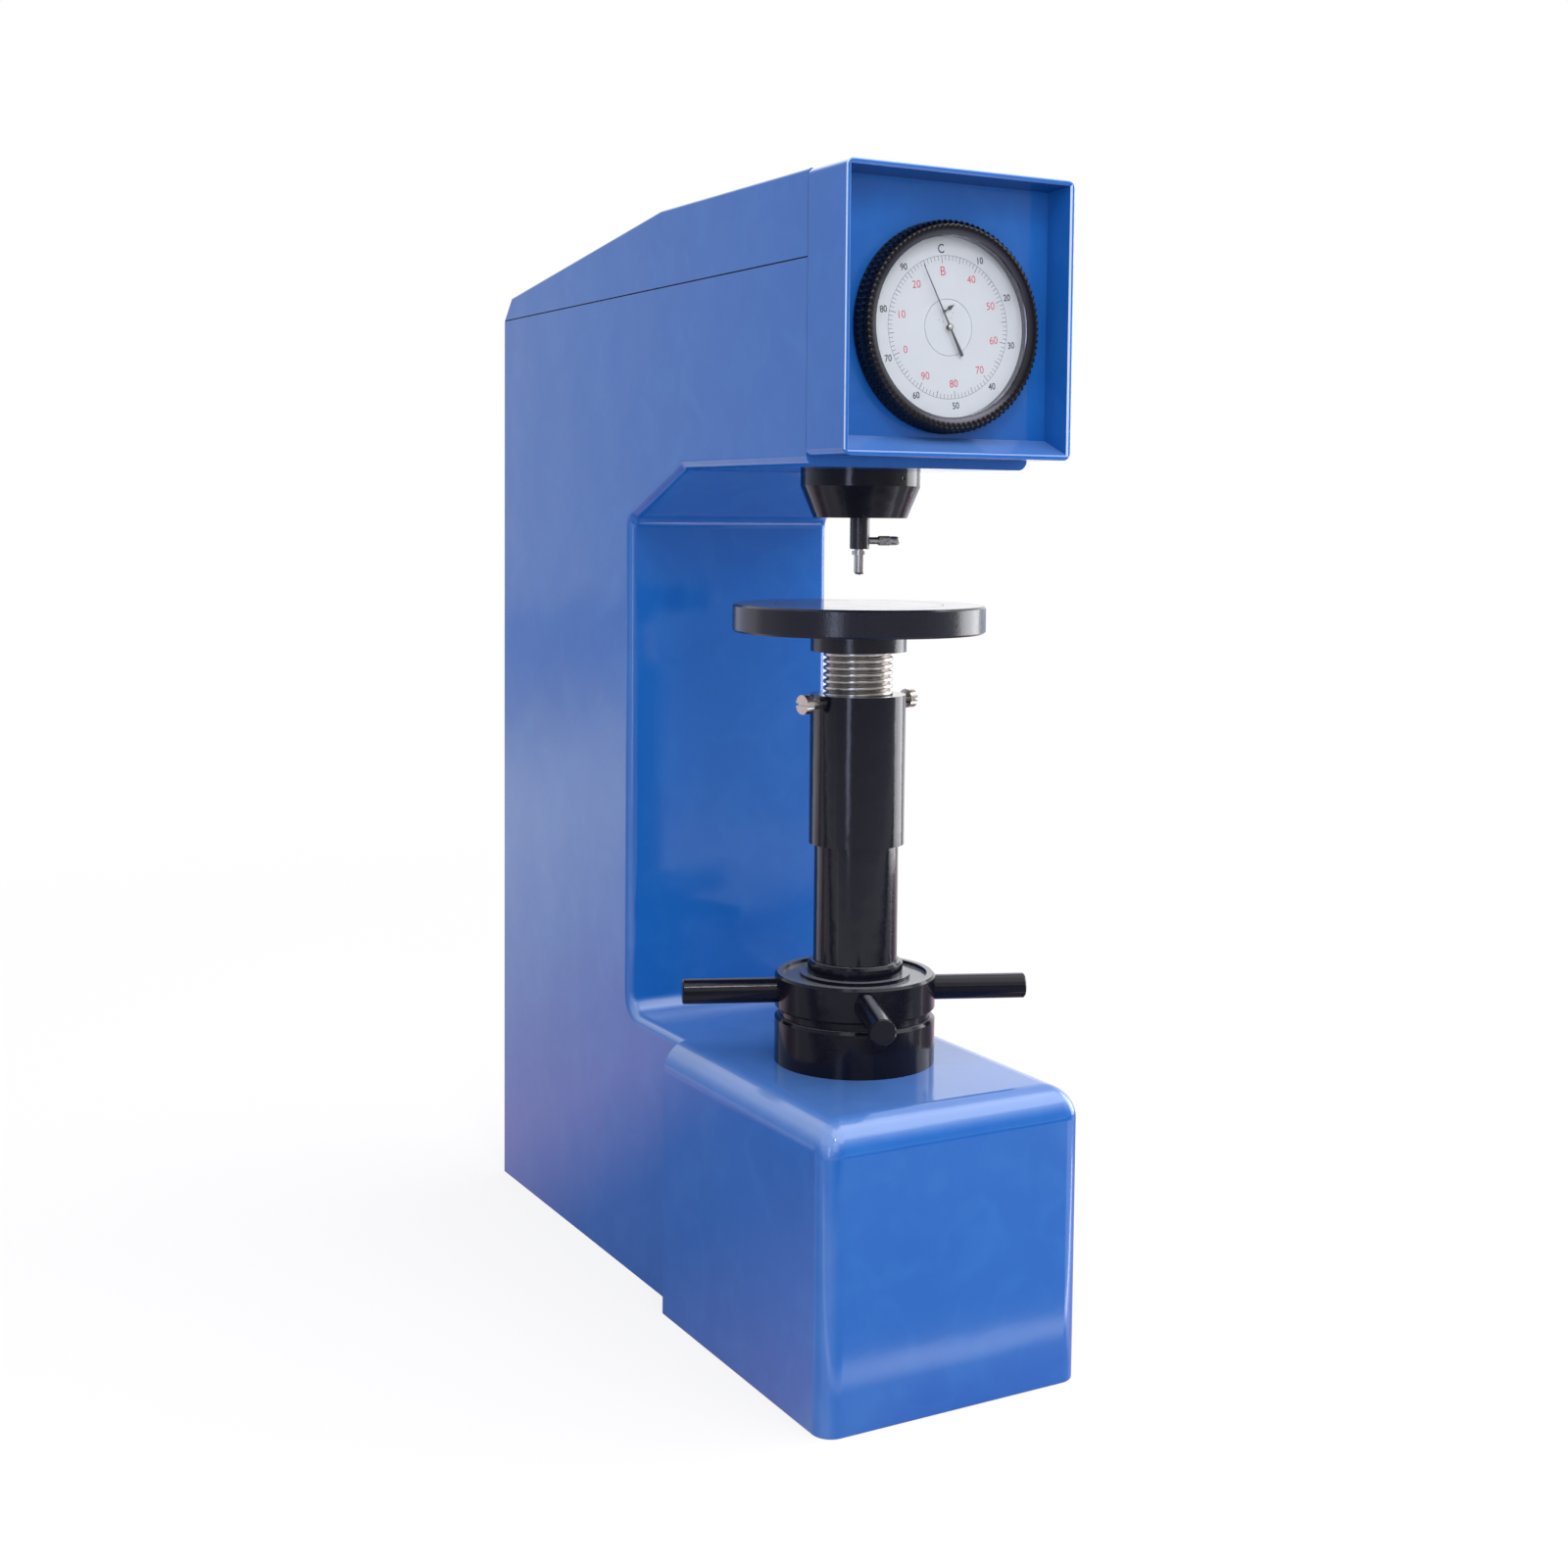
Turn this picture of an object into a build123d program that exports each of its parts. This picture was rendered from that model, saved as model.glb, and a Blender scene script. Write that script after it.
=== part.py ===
from build123d import *
import math
import os

os.makedirs("parts", exist_ok=True)

# Bench hardness tester of the Rockwell type, in millimetres.
# X runs across the machine, -Y is the front with the dial and +Z is up.
# The origin is on the foot plane, on the vertical axis shared by the elevating screw and the spindle.

# ---- Clearances ----------------------------------------------------------------------------------
moving_gap = 0.3  # faces of two pieces that move past each other
running_gap = 0.05  # radial, a shaft in its bush
spigot_gap = 0.1  # radial, a fixed shank or spigot in its hole
tube_gap = 0.35  # radial, the two telescoping guard tubes

# ---- Frame casting -------------------------------------------------------------------------------
wall = 8.0
floor_thickness = 10.0
base_half_width = 86.0
base_front = 113.3  # reach in front of the screw axis
base_rear = 84.0  # reach of the wide block behind the screw axis
base_height = 171.5
base_edge_radius = 18.0
base_corner_radius = 12.0  # the two upright front corners
base_foot_radius = 1.2
column_half_width = 73.7
column_edge_radius = 6.0
outer_edge_radius = 2.0  # rear corners of the column, and the lid's edges
throat_depth = 162.8  # screw axis to column face
throat_height = 352.1  # base top to head underside
column_depth = 223.05
head_front = 64.2
head_side_height = 112.6  # head underside to the lid seam
slant_start = 88.3  # where the head underside begins to slope
slant_drop = 31.3
throat_bend_radius = 8.0
foot_blend_radius = 12.0

# ---- Covers --------------------------------------------------------------------------------------
lid_thickness = 3.0
lid_height = 47.9
lid_knee = 121.2  # where the flat top turns into the long slope
lid_knee_radius = 30.0
lid_tail_inset = 14.85
lid_tail_height = 16.3
lid_lip_depth = 6.0
seam_gap = 0.8  # open line round the lid, and round the back of the hood
seam_depth = 1.5
rear_cover_thickness = 3.0
rear_cover_margin = 15.7
rear_cover_ledge = 10.0
rear_cover_height = 540.0
rear_cover_corner_radius = 8.0
rear_screw_radius = 2.4
rear_screw_head_radius = 4.5
rear_screw_head_height = 2.6
rear_screw_length = 10.0
rear_screw_rows = 3

# ---- Dial hood -----------------------------------------------------------------------------------
hood_half_width = 74.3
hood_drop = 5.0  # how far its underside sits above the head underside
hood_depth = 41.1
hood_corner_radius = 4.5
hood_rim = 3.0
hood_rim_radius = 1.3  # outer edge of the front rim
hood_mouth_bevel = 0.9  # inner edge of the front rim
recess_depth = 19.6
recess_taper = 1.5
recess_sill_rise = 8.5
panel_thickness = 4.0

# ---- Dial gauge ----------------------------------------------------------------------------------
dial_rise = 76.6  # dial centre above the head underside
bezel_radius = 58.1
bezel_bevel = 2.4
bezel_bevel_depth = 3.0
bezel_depth = 11.8
bezel_lip = 6.6  # radial width of the front ring
bezel_shoulder = 2.2
glass_inset = 1.8
glass_thickness = 1.2
dial_ring_radius = 50.0
dial_ring_inner = 15.6
dial_ring_thickness = 0.7
gauge_flange_radius = 50.0
gauge_flange_thickness = 3.8
gauge_body_radius = 38.7
gauge_stem_radius = 6.0
gauge_stem_length = 6.5
plunger_radius = 3.0
plunger_reach = 3.5
plunger_inside = 20.0
plunger_setback = 73.5  # plunger axis in front of the screw axis
pointer_tip = 37.4
pointer_tail = 17.4
pointer_angle = -28.0  # from straight up, clockwise seen from the front
pointer_thickness = 0.4
pointer_lift = 1.7
pointer_hub_radius = 2.2
pointer_waist = 0.9  # half-width at the hub
pointer_tail_half_width = 1.4
pointer_staff_radius = 1.2
small_pointer_x = -3.0
small_pointer_rise = 8.6
small_pointer_length = 7.2
small_pointer_angle = 58.0
small_pointer_lift = 0.6
small_pointer_thickness = 0.3
small_staff_radius = 0.6
small_pointer_hub_radius = 0.9
small_pointer_half_width = 1.2
small_pointer_neck = 0.3  # half-width of the leaf's stalk

# ---- Spindle, nose and indenter ------------------------------------------------------------------
cone_radius = 35.5
cone_tip_radius = 27.8
cone_rim_height = 9.6
cone_height = 28.2
cone_sole = 4.6
bush_radius = 16.0
bush_top_radius = 12.0
bush_flange_radius = 20.0
bush_flange_thickness = 4.4
spindle_radius = 8.0
spindle_neck_radius = 5.8
spindle_edge = 0.5
spindle_drop = 18.4  # how far the neck shows below the nose cone
spindle_head_radius = 9.0
spindle_head_height = 14.5
chuck_radius = 3.25
chuck_depth = 18.0
indenter_radius = 3.15
indenter_collar_radius = 4.45
indenter_collar_height = 2.4
indenter_gap = 1.0
indenter_length = 7.1
indenter_cap_height = 4.4
ball_radius = 0.8
ball_stand_out = 0.4
thumb_screw_rise = 5.0
thumb_screw_angle = -17.0
thumb_neck_radius = 2.1
thumb_neck_end = 11.0
thumb_grip_radius = 2.85
thumb_grip_end = 24.0

# ---- Anvil and elevating screw -------------------------------------------------------------------
test_gap = 17.3  # anvil top to indenter tip as it stands
anvil_radius = 75.0
anvil_thickness = 16.4
anvil_edge = 1.2
anvil_groove_radii = (25.0, 50.0)
anvil_groove = 0.5
anvil_hub_radius = 28.5
anvil_hub_height = 11.3
anvil_stem_radius = 12.0
anvil_stem_length = 18.0
screw_radius = 20.75
screw_travel_down = 59.0
screw_travel_up = 16.5
screw_visible = 25.6  # thread between the guard tube and the anvil hub
screw_end_chamfer = 2.0
screw_end_margin = 8.0  # left under the screw at the bottom of its travel
keyway_half_width = 4.3
keyway_depth = 4.0
key_half_width = 4.0
key_height = 30.0
key_seat = 4.0  # how deep the key sits in the bush

# ---- Guard tubes ---------------------------------------------------------------------------------
upper_tube_radius = 28.44
upper_tube_length = 88.9
clamp_ring_height = 9.0
lower_tube_radius = 25.1
lower_tube_wall = 3.7
tube_end_gap = 0.9  # tube to clamp ring with the screw all the way down
clamp_screw_radius = 3.0
clamp_screw_head_radius = 5.75
clamp_screw_head_height = 5.0
clamp_screw_shank_end = 37.0
clamp_screw_slot = 1.4
clamp_screw_slot_depth = 1.8
clamp_screw_angle = 8.0

# ---- Handwheel and thrust bearing ----------------------------------------------------------------
wheel_radius = 48.0
collar_height = 27.5
groove_height = 4.5
groove_inset = 3.0
wheel_height = 21.0
wheel_edge = 1.5
wheel_recess_inner = 33.0
wheel_recess_outer = 43.0
wheel_recess_depth = 2.0
wheel_neck_radius = 28.5
wheel_neck_height = 7.5
bearing_bore = 22.5
bearing_outer = 33.0
race_thickness = 5.0
race_groove_depth = 1.0
bearing_ball_radius = 4.5
bearing_ball_count = 12
nut_radius = 27.0
guide_bush_radius = 30.0
guide_bush_length = 51.5
guide_flange_thickness = 3.5
screw_boss_radius = 38.0
bar_radius = 7.5
bar_tip = 103.6
bar_seat = 47.2
bar_edge = 0.8
bar_spigot_radius = 5.0
bar_spigot_depth = 12.0
bar_first_angle = -22.4
bar_count = 4

# ---- Lever system --------------------------------------------------------------------------------
knife_rise = 32.4  # knife edges above the head underside
fulcrum_reach = 16.0  # fulcrum in front of the spindle axis
lever_ratio = 20.0  # hanger arm over spindle arm, both from the fulcrum
knife_half_width = 5.0
knife_bevel = 6.0
knife_depth = 9.0
window_half_width = 7.5
window_bevel = 5.0
window_depth = 12.0
fulcrum_block_inner = 22.0
fulcrum_block_outer = 40.0
fulcrum_block_length = 36.0
fulcrum_block_crown = 18.0
lever_half_width = 10.0
lever_clear = 4.0  # underside of the beam above the knife edges
lever_front_depth = 28.0
lever_rear_depth = 18.0
lever_nose_reach = 79.0
lever_nose_thickness = 7.0
lever_head_length = 17.5
lever_head_margin = 0.5  # metal behind the fulcrum knife
lever_tail_length = 28.0
load_knife_half_width = 4.0
load_knife_height = 9.0
poise_position = 112.0
poise_length = 34.0
poise_half_width = 19.0
poise_border = 8.0

# ---- Hanger and weights --------------------------------------------------------------------------
hanger_plate_inner = 14.0
hanger_plate_thickness = 5.0
hanger_plate_length = 24.0
hanger_plate_drop = 36.0
hanger_plate_rise = 10.0
hanger_bridge_height = 12.0
hanger_rod_radius = 6.0
hanger_flange_radius = 28.0
hanger_flange_thickness = 8.0
hanger_base_height = 142.0
weight_radius = 55.0
weight_edge = 2.0
weight_thicknesses = {"weight_lower": 40.0, "weight_middle": 36.0, "weight_upper": 30.0}

# ---- Loading gear --------------------------------------------------------------------------------
load_shaft_y = 205.0
load_shaft_height = 120.0
load_shaft_radius = 9.0
load_bush_radius = 14.0
load_bush_flange_radius = 20.0
shaft_flange_thickness = 4.0
shaft_boss_depth = 20.0
shaft_boss_border = 6.0
cam_radius = 20.0
cam_throw = 12.0
cam_phase = 30.0  # rise of the cam centre above the shaft at rest
cam_half_thickness = 5.0
cam_border = 4.0
lift_rod_radius = 4.0
lift_foot_radius = 16.0
lift_foot_thickness = 6.0
lift_pad_radius = 7.0
lift_pad_height = 5.0
load_lever_hub_radius = 17.0
load_lever_hub_width = 20.0
load_lever_radius = 6.0
load_lever_length = 112.0
load_lever_splay = 12.0
load_knob_radius = 15.0
load_knob_shank_radius = 4.0
load_knob_shank_depth = 14.0
load_knob_face = 12.5  # flat of the ball knob in front of its centre
dashpot_radius = 24.0
dashpot_wall = 4.0
dashpot_end = 6.0
dashpot_length = 90.0
dashpot_base_height = 370.0
dashpot_piston_thickness = 12.0
bracket_height = 30.0
bracket_border = 6.0
bracket_half_width = 15.0

# ---- Force selector ------------------------------------------------------------------------------
selector_height = 310.0
selector_shaft_radius = 8.0
selector_bush_radius = 12.0
selector_flange_radius = 17.0
selector_knob_radius = 28.0
selector_knob_height = 26.0
selector_knob_skirt = 8.0
selector_flute_radius = 5.0
selector_flute_count = 8
selector_cam_radius = 18.0
selector_cam_offset = 5.0
selector_cam_inner = 24.0
selector_cam_thickness = 10.0
selector_shaft_inner = 20.0

# ---- Levels and planes that follow from the sizes above -------------------------------------------
head_underside_z = base_height + throat_height
head_floor_z = head_underside_z + wall
seam_z = head_underside_z + head_side_height
slant_end_z = head_underside_z - slant_drop
column_rear = throat_depth + column_depth
cavity_half_width = column_half_width - wall
cavity_front = throat_depth + wall
cavity_rear = column_rear - wall
lid_top_z = seam_z + lid_height
dial_z = head_underside_z + dial_rise
knife_z = head_underside_z + knife_rise
hanger_reach = (lever_ratio - 1) * fulcrum_reach
lever_bottom_z = knife_z + lever_clear
cone_bottom_z = head_underside_z - cone_height
spindle_bottom_z = cone_bottom_z - spindle_drop
indenter_collar_top_z = spindle_bottom_z - indenter_gap
indenter_collar_bottom_z = indenter_collar_top_z - indenter_collar_height
cap_bottom_z = indenter_collar_bottom_z - indenter_length - indenter_cap_height
cap_top_z = cap_bottom_z + indenter_cap_height
indenter_tip_z = cap_bottom_z - ball_stand_out
anvil_top_z = indenter_tip_z - test_gap
anvil_bottom_z = anvil_top_z - anvil_thickness
screw_top_z = anvil_bottom_z - anvil_hub_height
screw_bottom_z = floor_thickness + screw_travel_down + screw_end_margin
upper_tube_top_z = screw_top_z - screw_visible
upper_tube_bottom_z = upper_tube_top_z - upper_tube_length
clamp_ring_bottom_z = upper_tube_top_z - clamp_ring_height
lower_tube_top_z = clamp_ring_bottom_z - screw_travel_down - tube_end_gap
clamp_screw_z = upper_tube_top_z - clamp_ring_height / 2
collar_top_z = base_height + collar_height
wheel_flange_z = collar_top_z + moving_gap
wheel_bottom_z = collar_top_z + groove_height
wheel_top_z = wheel_bottom_z + wheel_height
wheel_neck_z = wheel_top_z + wheel_neck_height
bar_z = wheel_bottom_z + wheel_height / 2
guide_flange_z = base_height + guide_flange_thickness
lower_race_top_z = guide_flange_z + race_thickness
bearing_ball_z = lower_race_top_z - race_groove_depth + moving_gap + bearing_ball_radius
upper_race_bottom_z = bearing_ball_z + bearing_ball_radius + moving_gap - race_groove_depth
upper_race_top_z = upper_race_bottom_z + race_thickness
ball_circle_radius = (bearing_bore + bearing_outer) / 2
hood_front = head_front + hood_depth
panel_front = hood_front - recess_depth
panel_back = panel_front - panel_thickness
hood_bottom_z = head_underside_z + hood_drop
gauge_flange_front = panel_front + gauge_flange_thickness
bezel_back = panel_front + moving_gap
bezel_front = bezel_back + bezel_depth
dial_back = gauge_flange_front + moving_gap
dial_front = dial_back + dial_ring_thickness
glass_front = bezel_front - glass_inset
glass_back = glass_front - glass_thickness
gauge_bottom_z = dial_z - gauge_body_radius
plunger_bottom_z = gauge_bottom_z - gauge_stem_length - plunger_reach
lever_nose_top_z = plunger_bottom_z - moving_gap
cam_centre_y = load_shaft_y + cam_throw * math.cos(math.radians(cam_phase))
cam_centre_z = load_shaft_height + cam_throw * math.sin(math.radians(cam_phase))
lift_foot_z = cam_centre_z + cam_radius + moving_gap
lift_rod_top_z = lever_bottom_z - moving_gap
outer_face_x = column_half_width + shaft_flange_thickness + moving_gap
lid_lip_half_width = cavity_half_width - moving_gap
lid_lip_rear = cavity_rear - moving_gap
rear_cover_half_width = column_half_width - rear_cover_margin
rear_cover_z = (seam_z + floor_thickness) / 2
rear_screw_x = rear_cover_half_width - rear_cover_ledge / 2
rear_screw_pitch = (rear_cover_height - rear_cover_ledge) / (rear_screw_rows - 1)
rear_screw_places = [
    (side * rear_screw_x, rear_cover_z + (row - (rear_screw_rows - 1) / 2) * rear_screw_pitch)
    for side in (-1, 1)
    for row in range(rear_screw_rows)
]
bar_angles = [bar_first_angle + 360 / bar_count * index for index in range(bar_count)]
clamp_screw_angles = (clamp_screw_angle, clamp_screw_angle + 180)


# ---- Planes and forms used by several pieces -------------------------------------------------------
def upright(x=0.0, y=0.0):
    """Plane whose local y is a vertical spin axis through (x, y) and whose local x is the radius."""
    return Plane(origin=(x, y, 0), x_dir=(1, 0, 0), z_dir=(0, -1, 0))


def crosswise(y, z):
    """Plane whose local y is a spin axis along +X through (y, z) and whose local x is the radius."""
    return Plane(origin=(0, y, z), x_dir=(0, 1, 0), z_dir=(0, 0, -1))


def radial(angle, z):
    """Plane whose local y points away from the screw axis at the given angle and height."""
    direction = (math.cos(math.radians(angle)), math.sin(math.radians(angle)), 0)
    side = (-direction[1], direction[0], 0)
    return Plane(origin=(0, 0, z), x_dir=side, z_dir=Vector(side).cross(Vector(direction)))


def across_plane(angle, z):
    """Plane through the screw axis, facing outwards at the given angle and height."""
    direction = (math.cos(math.radians(angle)), math.sin(math.radians(angle)), 0)
    return Plane(origin=(0, 0, z), x_dir=(-direction[1], direction[0], 0), z_dir=direction)


def is_bar_tip(edge):
    """True for the round edge at the outer end of a handwheel bar."""
    return math.hypot(edge.center().X, edge.center().Y) > bar_tip - bar_edge


def turned(profile, plane):
    """A turned piece: the closed (radius, distance) profile spun about the plane's local y axis."""
    with BuildPart() as piece:
        with BuildSketch(plane):
            with BuildLine():
                Polyline(*profile, close=True)
            make_face()
        revolve(axis=Axis(plane.origin, plane.y_dir))
    return piece


def ring(outer, inner, low, high):
    """Rectangular half-section of a ring, for turned()."""
    return ((inner, low), (outer, low), (outer, high), (inner, high))


dial_axis = Plane.XY.offset(dial_z)


# ---- Frame casting ---------------------------------------------------------------------------------
# Wide base block in front of the column, open to it at the back.
with BuildPart() as base_block:
    with BuildSketch():
        with Locations((0, (base_rear - base_front) / 2)):
            Rectangle(2 * base_half_width, base_rear + base_front)
    extrude(amount=base_height)
    top_edges = base_block.edges().group_by(Axis.Z)[-1]
    fillet(top_edges.sort_by(Axis.Y)[:-1], base_edge_radius)
    upright_edges = base_block.edges().filter_by(Axis.Z)
    fillet(upright_edges.sort_by(Axis.Y)[:2], base_corner_radius)
    foot_edges = base_block.edges().group_by(Axis.Z)[0]
    fillet(foot_edges.sort_by(Axis.Y)[:-1], base_foot_radius)

with BuildPart() as frame_casting:
    # Column and head in side view, with the sloping throat corner and the blended foot.
    with BuildSketch(Plane.YZ) as side_view:
        with BuildLine():
            Polyline(
                (0, 0),
                (column_rear, 0),
                (column_rear, seam_z),
                (-head_front, seam_z),
                (-head_front, head_underside_z),
                (slant_start, head_underside_z),
                (throat_depth, slant_end_z),
                (throat_depth, base_height),
                (0, base_height),
                close=True,
            )
        make_face()
        slope_top = side_view.vertices().sort_by_distance((slant_start, head_underside_z))[0]
        fillet(slope_top, throat_bend_radius)
        slope_bottom = side_view.vertices().sort_by_distance((throat_depth, slant_end_z))[0]
        fillet(slope_bottom, throat_bend_radius)
        foot_corner = side_view.vertices().sort_by_distance((throat_depth, base_height))[0]
        fillet(foot_corner, foot_blend_radius)
    extrude(amount=column_half_width, both=True)
    throat_edges = (
        frame_casting.edges()
        .filter_by_position(Axis.Y, -head_front / 2, throat_depth + 1)
        .filter_by_position(Axis.Z, base_height - 1, head_underside_z + 1)
        .filter_by(lambda edge: abs(edge.center().X) > column_half_width - 1)
    )
    fillet(throat_edges, column_edge_radius)
    rear_corners = frame_casting.edges().filter_by(Axis.Z).group_by(Axis.Y)[-1]
    fillet(rear_corners, outer_edge_radius)
    add(base_block.part)
    # Closed core: column and head in one, then the base.
    with BuildSketch(Plane.YZ):
        with BuildLine():
            Polyline(
                (cavity_front, floor_thickness),
                (cavity_rear, floor_thickness),
                (cavity_rear, seam_z),
                (-head_front, seam_z),
                (-head_front, head_floor_z),
                (slant_start, head_floor_z),
                (cavity_front, slant_end_z + wall),
                close=True,
            )
        make_face()
    extrude(amount=cavity_half_width, both=True, mode=Mode.SUBTRACT)
    with BuildSketch(Plane.XY.offset(floor_thickness)):
        with Locations((0, (cavity_front - base_front + wall) / 2)):
            Rectangle(2 * cavity_half_width, cavity_front + base_front - wall)
    extrude(amount=base_height - wall - floor_thickness, mode=Mode.SUBTRACT)
    # Boss that carries the screw's guide bush, hanging from the base top.
    with BuildSketch(Plane.XY.offset(guide_flange_z - guide_bush_length)):
        Circle(screw_boss_radius)
    extrude(amount=guide_bush_length - guide_flange_thickness - wall)
    with BuildSketch(Plane.XY.offset(base_height)):
        Circle(guide_bush_radius + spigot_gap)
    extrude(amount=-guide_bush_length, mode=Mode.SUBTRACT)
    # Bore for the spindle bush in the head floor.
    with BuildSketch(Plane.XY.offset(head_underside_z)):
        Circle(bush_radius + spigot_gap)
    extrude(amount=wall, mode=Mode.SUBTRACT)
    # Bosses and bores for the two cross shafts in the right wall.
    for shaft_y, shaft_z, bush in (
        (load_shaft_y, load_shaft_height, load_bush_radius),
        (hanger_reach, selector_height, selector_bush_radius),
    ):
        with BuildSketch(Plane.YZ.offset(cavity_half_width)):
            with Locations((shaft_y, shaft_z)):
                Circle(bush + shaft_boss_border)
        extrude(amount=-shaft_boss_depth + wall)
        with BuildSketch(Plane.YZ.offset(column_half_width)):
            with Locations((shaft_y, shaft_z)):
                Circle(bush + spigot_gap)
        extrude(amount=-shaft_boss_depth, mode=Mode.SUBTRACT)
    # Rear window with a sunk ledge for its cover.
    with BuildSketch(Plane.XZ.offset(-column_rear)):
        with Locations((0, rear_cover_z)):
            RectangleRounded(
                2 * (rear_cover_half_width + spigot_gap),
                rear_cover_height + 2 * spigot_gap,
                rear_cover_corner_radius,
            )
    extrude(amount=rear_cover_thickness, mode=Mode.SUBTRACT)
    with BuildSketch(Plane.XZ.offset(-column_rear)):
        with Locations((0, rear_cover_z)):
            RectangleRounded(
                2 * (rear_cover_half_width - rear_cover_ledge),
                rear_cover_height - 2 * rear_cover_ledge,
                rear_cover_corner_radius,
            )
    extrude(amount=wall, mode=Mode.SUBTRACT)
    for place in rear_screw_places:
        with BuildSketch(Plane.XZ.offset(-column_rear)):
            with Locations(place):
                Circle(rear_screw_radius + spigot_gap)
        extrude(amount=rear_cover_thickness + rear_screw_length, mode=Mode.SUBTRACT)
frame_casting.part.label = "frame_casting"
export_step(frame_casting.part, "parts/frame_casting.step")


# ---- Rear cover and its screws -----------------------------------------------------------------------
with BuildPart() as rear_cover:
    with BuildSketch(Plane.XZ.offset(-column_rear)):
        with Locations((0, rear_cover_z)):
            RectangleRounded(2 * rear_cover_half_width, rear_cover_height, rear_cover_corner_radius)
        with Locations(*rear_screw_places):
            Circle(rear_screw_radius + spigot_gap, mode=Mode.SUBTRACT)
    extrude(amount=rear_cover_thickness)
rear_cover.part.label = "rear_cover"
export_step(rear_cover.part, "parts/rear_cover.step")

with BuildPart() as rear_cover_screws:
    with BuildSketch(Plane.XZ.offset(-column_rear)):
        with Locations(*rear_screw_places):
            Circle(rear_screw_head_radius)
    extrude(amount=-rear_screw_head_height)
    outer_rims = rear_cover_screws.edges().group_by(Axis.Y)[-1]
    chamfer(outer_rims, rear_screw_head_height / 2)
    with BuildSketch(Plane.XZ.offset(-column_rear)):
        with Locations(*rear_screw_places):
            Circle(rear_screw_radius)
    extrude(amount=rear_screw_length)
rear_cover_screws.part.label = "rear_cover_screws"
export_step(rear_cover_screws.part, "parts/rear_cover_screws.step")


# ---- Top cover -----------------------------------------------------------------------------------------
def lid_side(inset):
    """Side view of the lid down to the seam line, drawn in by the given sheet thickness."""
    skirt_z = seam_z + seam_gap
    slope_start = (lid_knee, lid_top_z - inset)
    slope_end = (column_rear - lid_tail_inset - inset / 2, seam_z + lid_tail_height - inset)
    with BuildSketch(Plane.YZ) as view:
        with BuildLine():
            Polyline(
                (-head_front, skirt_z),
                (-head_front, lid_top_z - inset),
                slope_start,
                slope_end,
                (column_rear - inset, skirt_z),
                close=True,
            )
        make_face()
        knee = view.vertices().sort_by_distance(slope_start)[0]
        fillet(knee, lid_knee_radius)
    return view.sketch


with BuildPart() as top_cover:
    extrude(lid_side(0), amount=column_half_width, both=True)
    outer_edges = (
        top_cover.edges()
        .filter_by_position(Axis.Z, seam_z + 2 * seam_gap, lid_top_z)
        .filter_by_position(Axis.Y, seam_gap - head_front, column_rear)
        .filter_by(lambda edge: abs(edge.center().X) > column_half_width / 2)
    )
    fillet(outer_edges, outer_edge_radius)
    extrude(
        lid_side(lid_thickness),
        amount=column_half_width - lid_thickness,
        both=True,
        mode=Mode.SUBTRACT,
    )
    # Locating lip that drops inside the casting's walls.
    with BuildSketch(Plane.XY.offset(seam_z - lid_lip_depth)) as lip_plan:
        with Locations((0, (lid_lip_rear - head_front) / 2)):
            Rectangle(2 * lid_lip_half_width, lid_lip_rear + head_front)
            Rectangle(
                2 * (lid_lip_half_width - lid_thickness),
                lid_lip_rear + head_front - 2 * lid_thickness,
                mode=Mode.SUBTRACT,
            )
    extrude(amount=lid_lip_depth)
    # Turned-in flange that rests on the casting's rim and carries the lip.
    with BuildSketch(Plane.XY.offset(seam_z)):
        with Locations((0, (cavity_rear - head_front + lid_thickness) / 2)):
            Rectangle(
                2 * (column_half_width - seam_depth),
                cavity_rear + head_front + lid_thickness,
            )
        with Locations((0, (lid_lip_rear - head_front) / 2)):
            Rectangle(
                2 * (lid_lip_half_width - lid_thickness),
                lid_lip_rear + head_front - 2 * lid_thickness,
                mode=Mode.SUBTRACT,
            )
    extrude(amount=lid_thickness)
top_cover.part.label = "top_cover"
export_step(top_cover.part, "parts/top_cover.step")


# ---- Dial hood -------------------------------------------------------------------------------------------
hood_middle_z = (hood_bottom_z + lid_top_z) / 2
hood_height = lid_top_z - hood_bottom_z
sill_front_z = hood_bottom_z + hood_rim
sill_back_z = sill_front_z + recess_sill_rise
recess_top_z = lid_top_z - hood_rim

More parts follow.
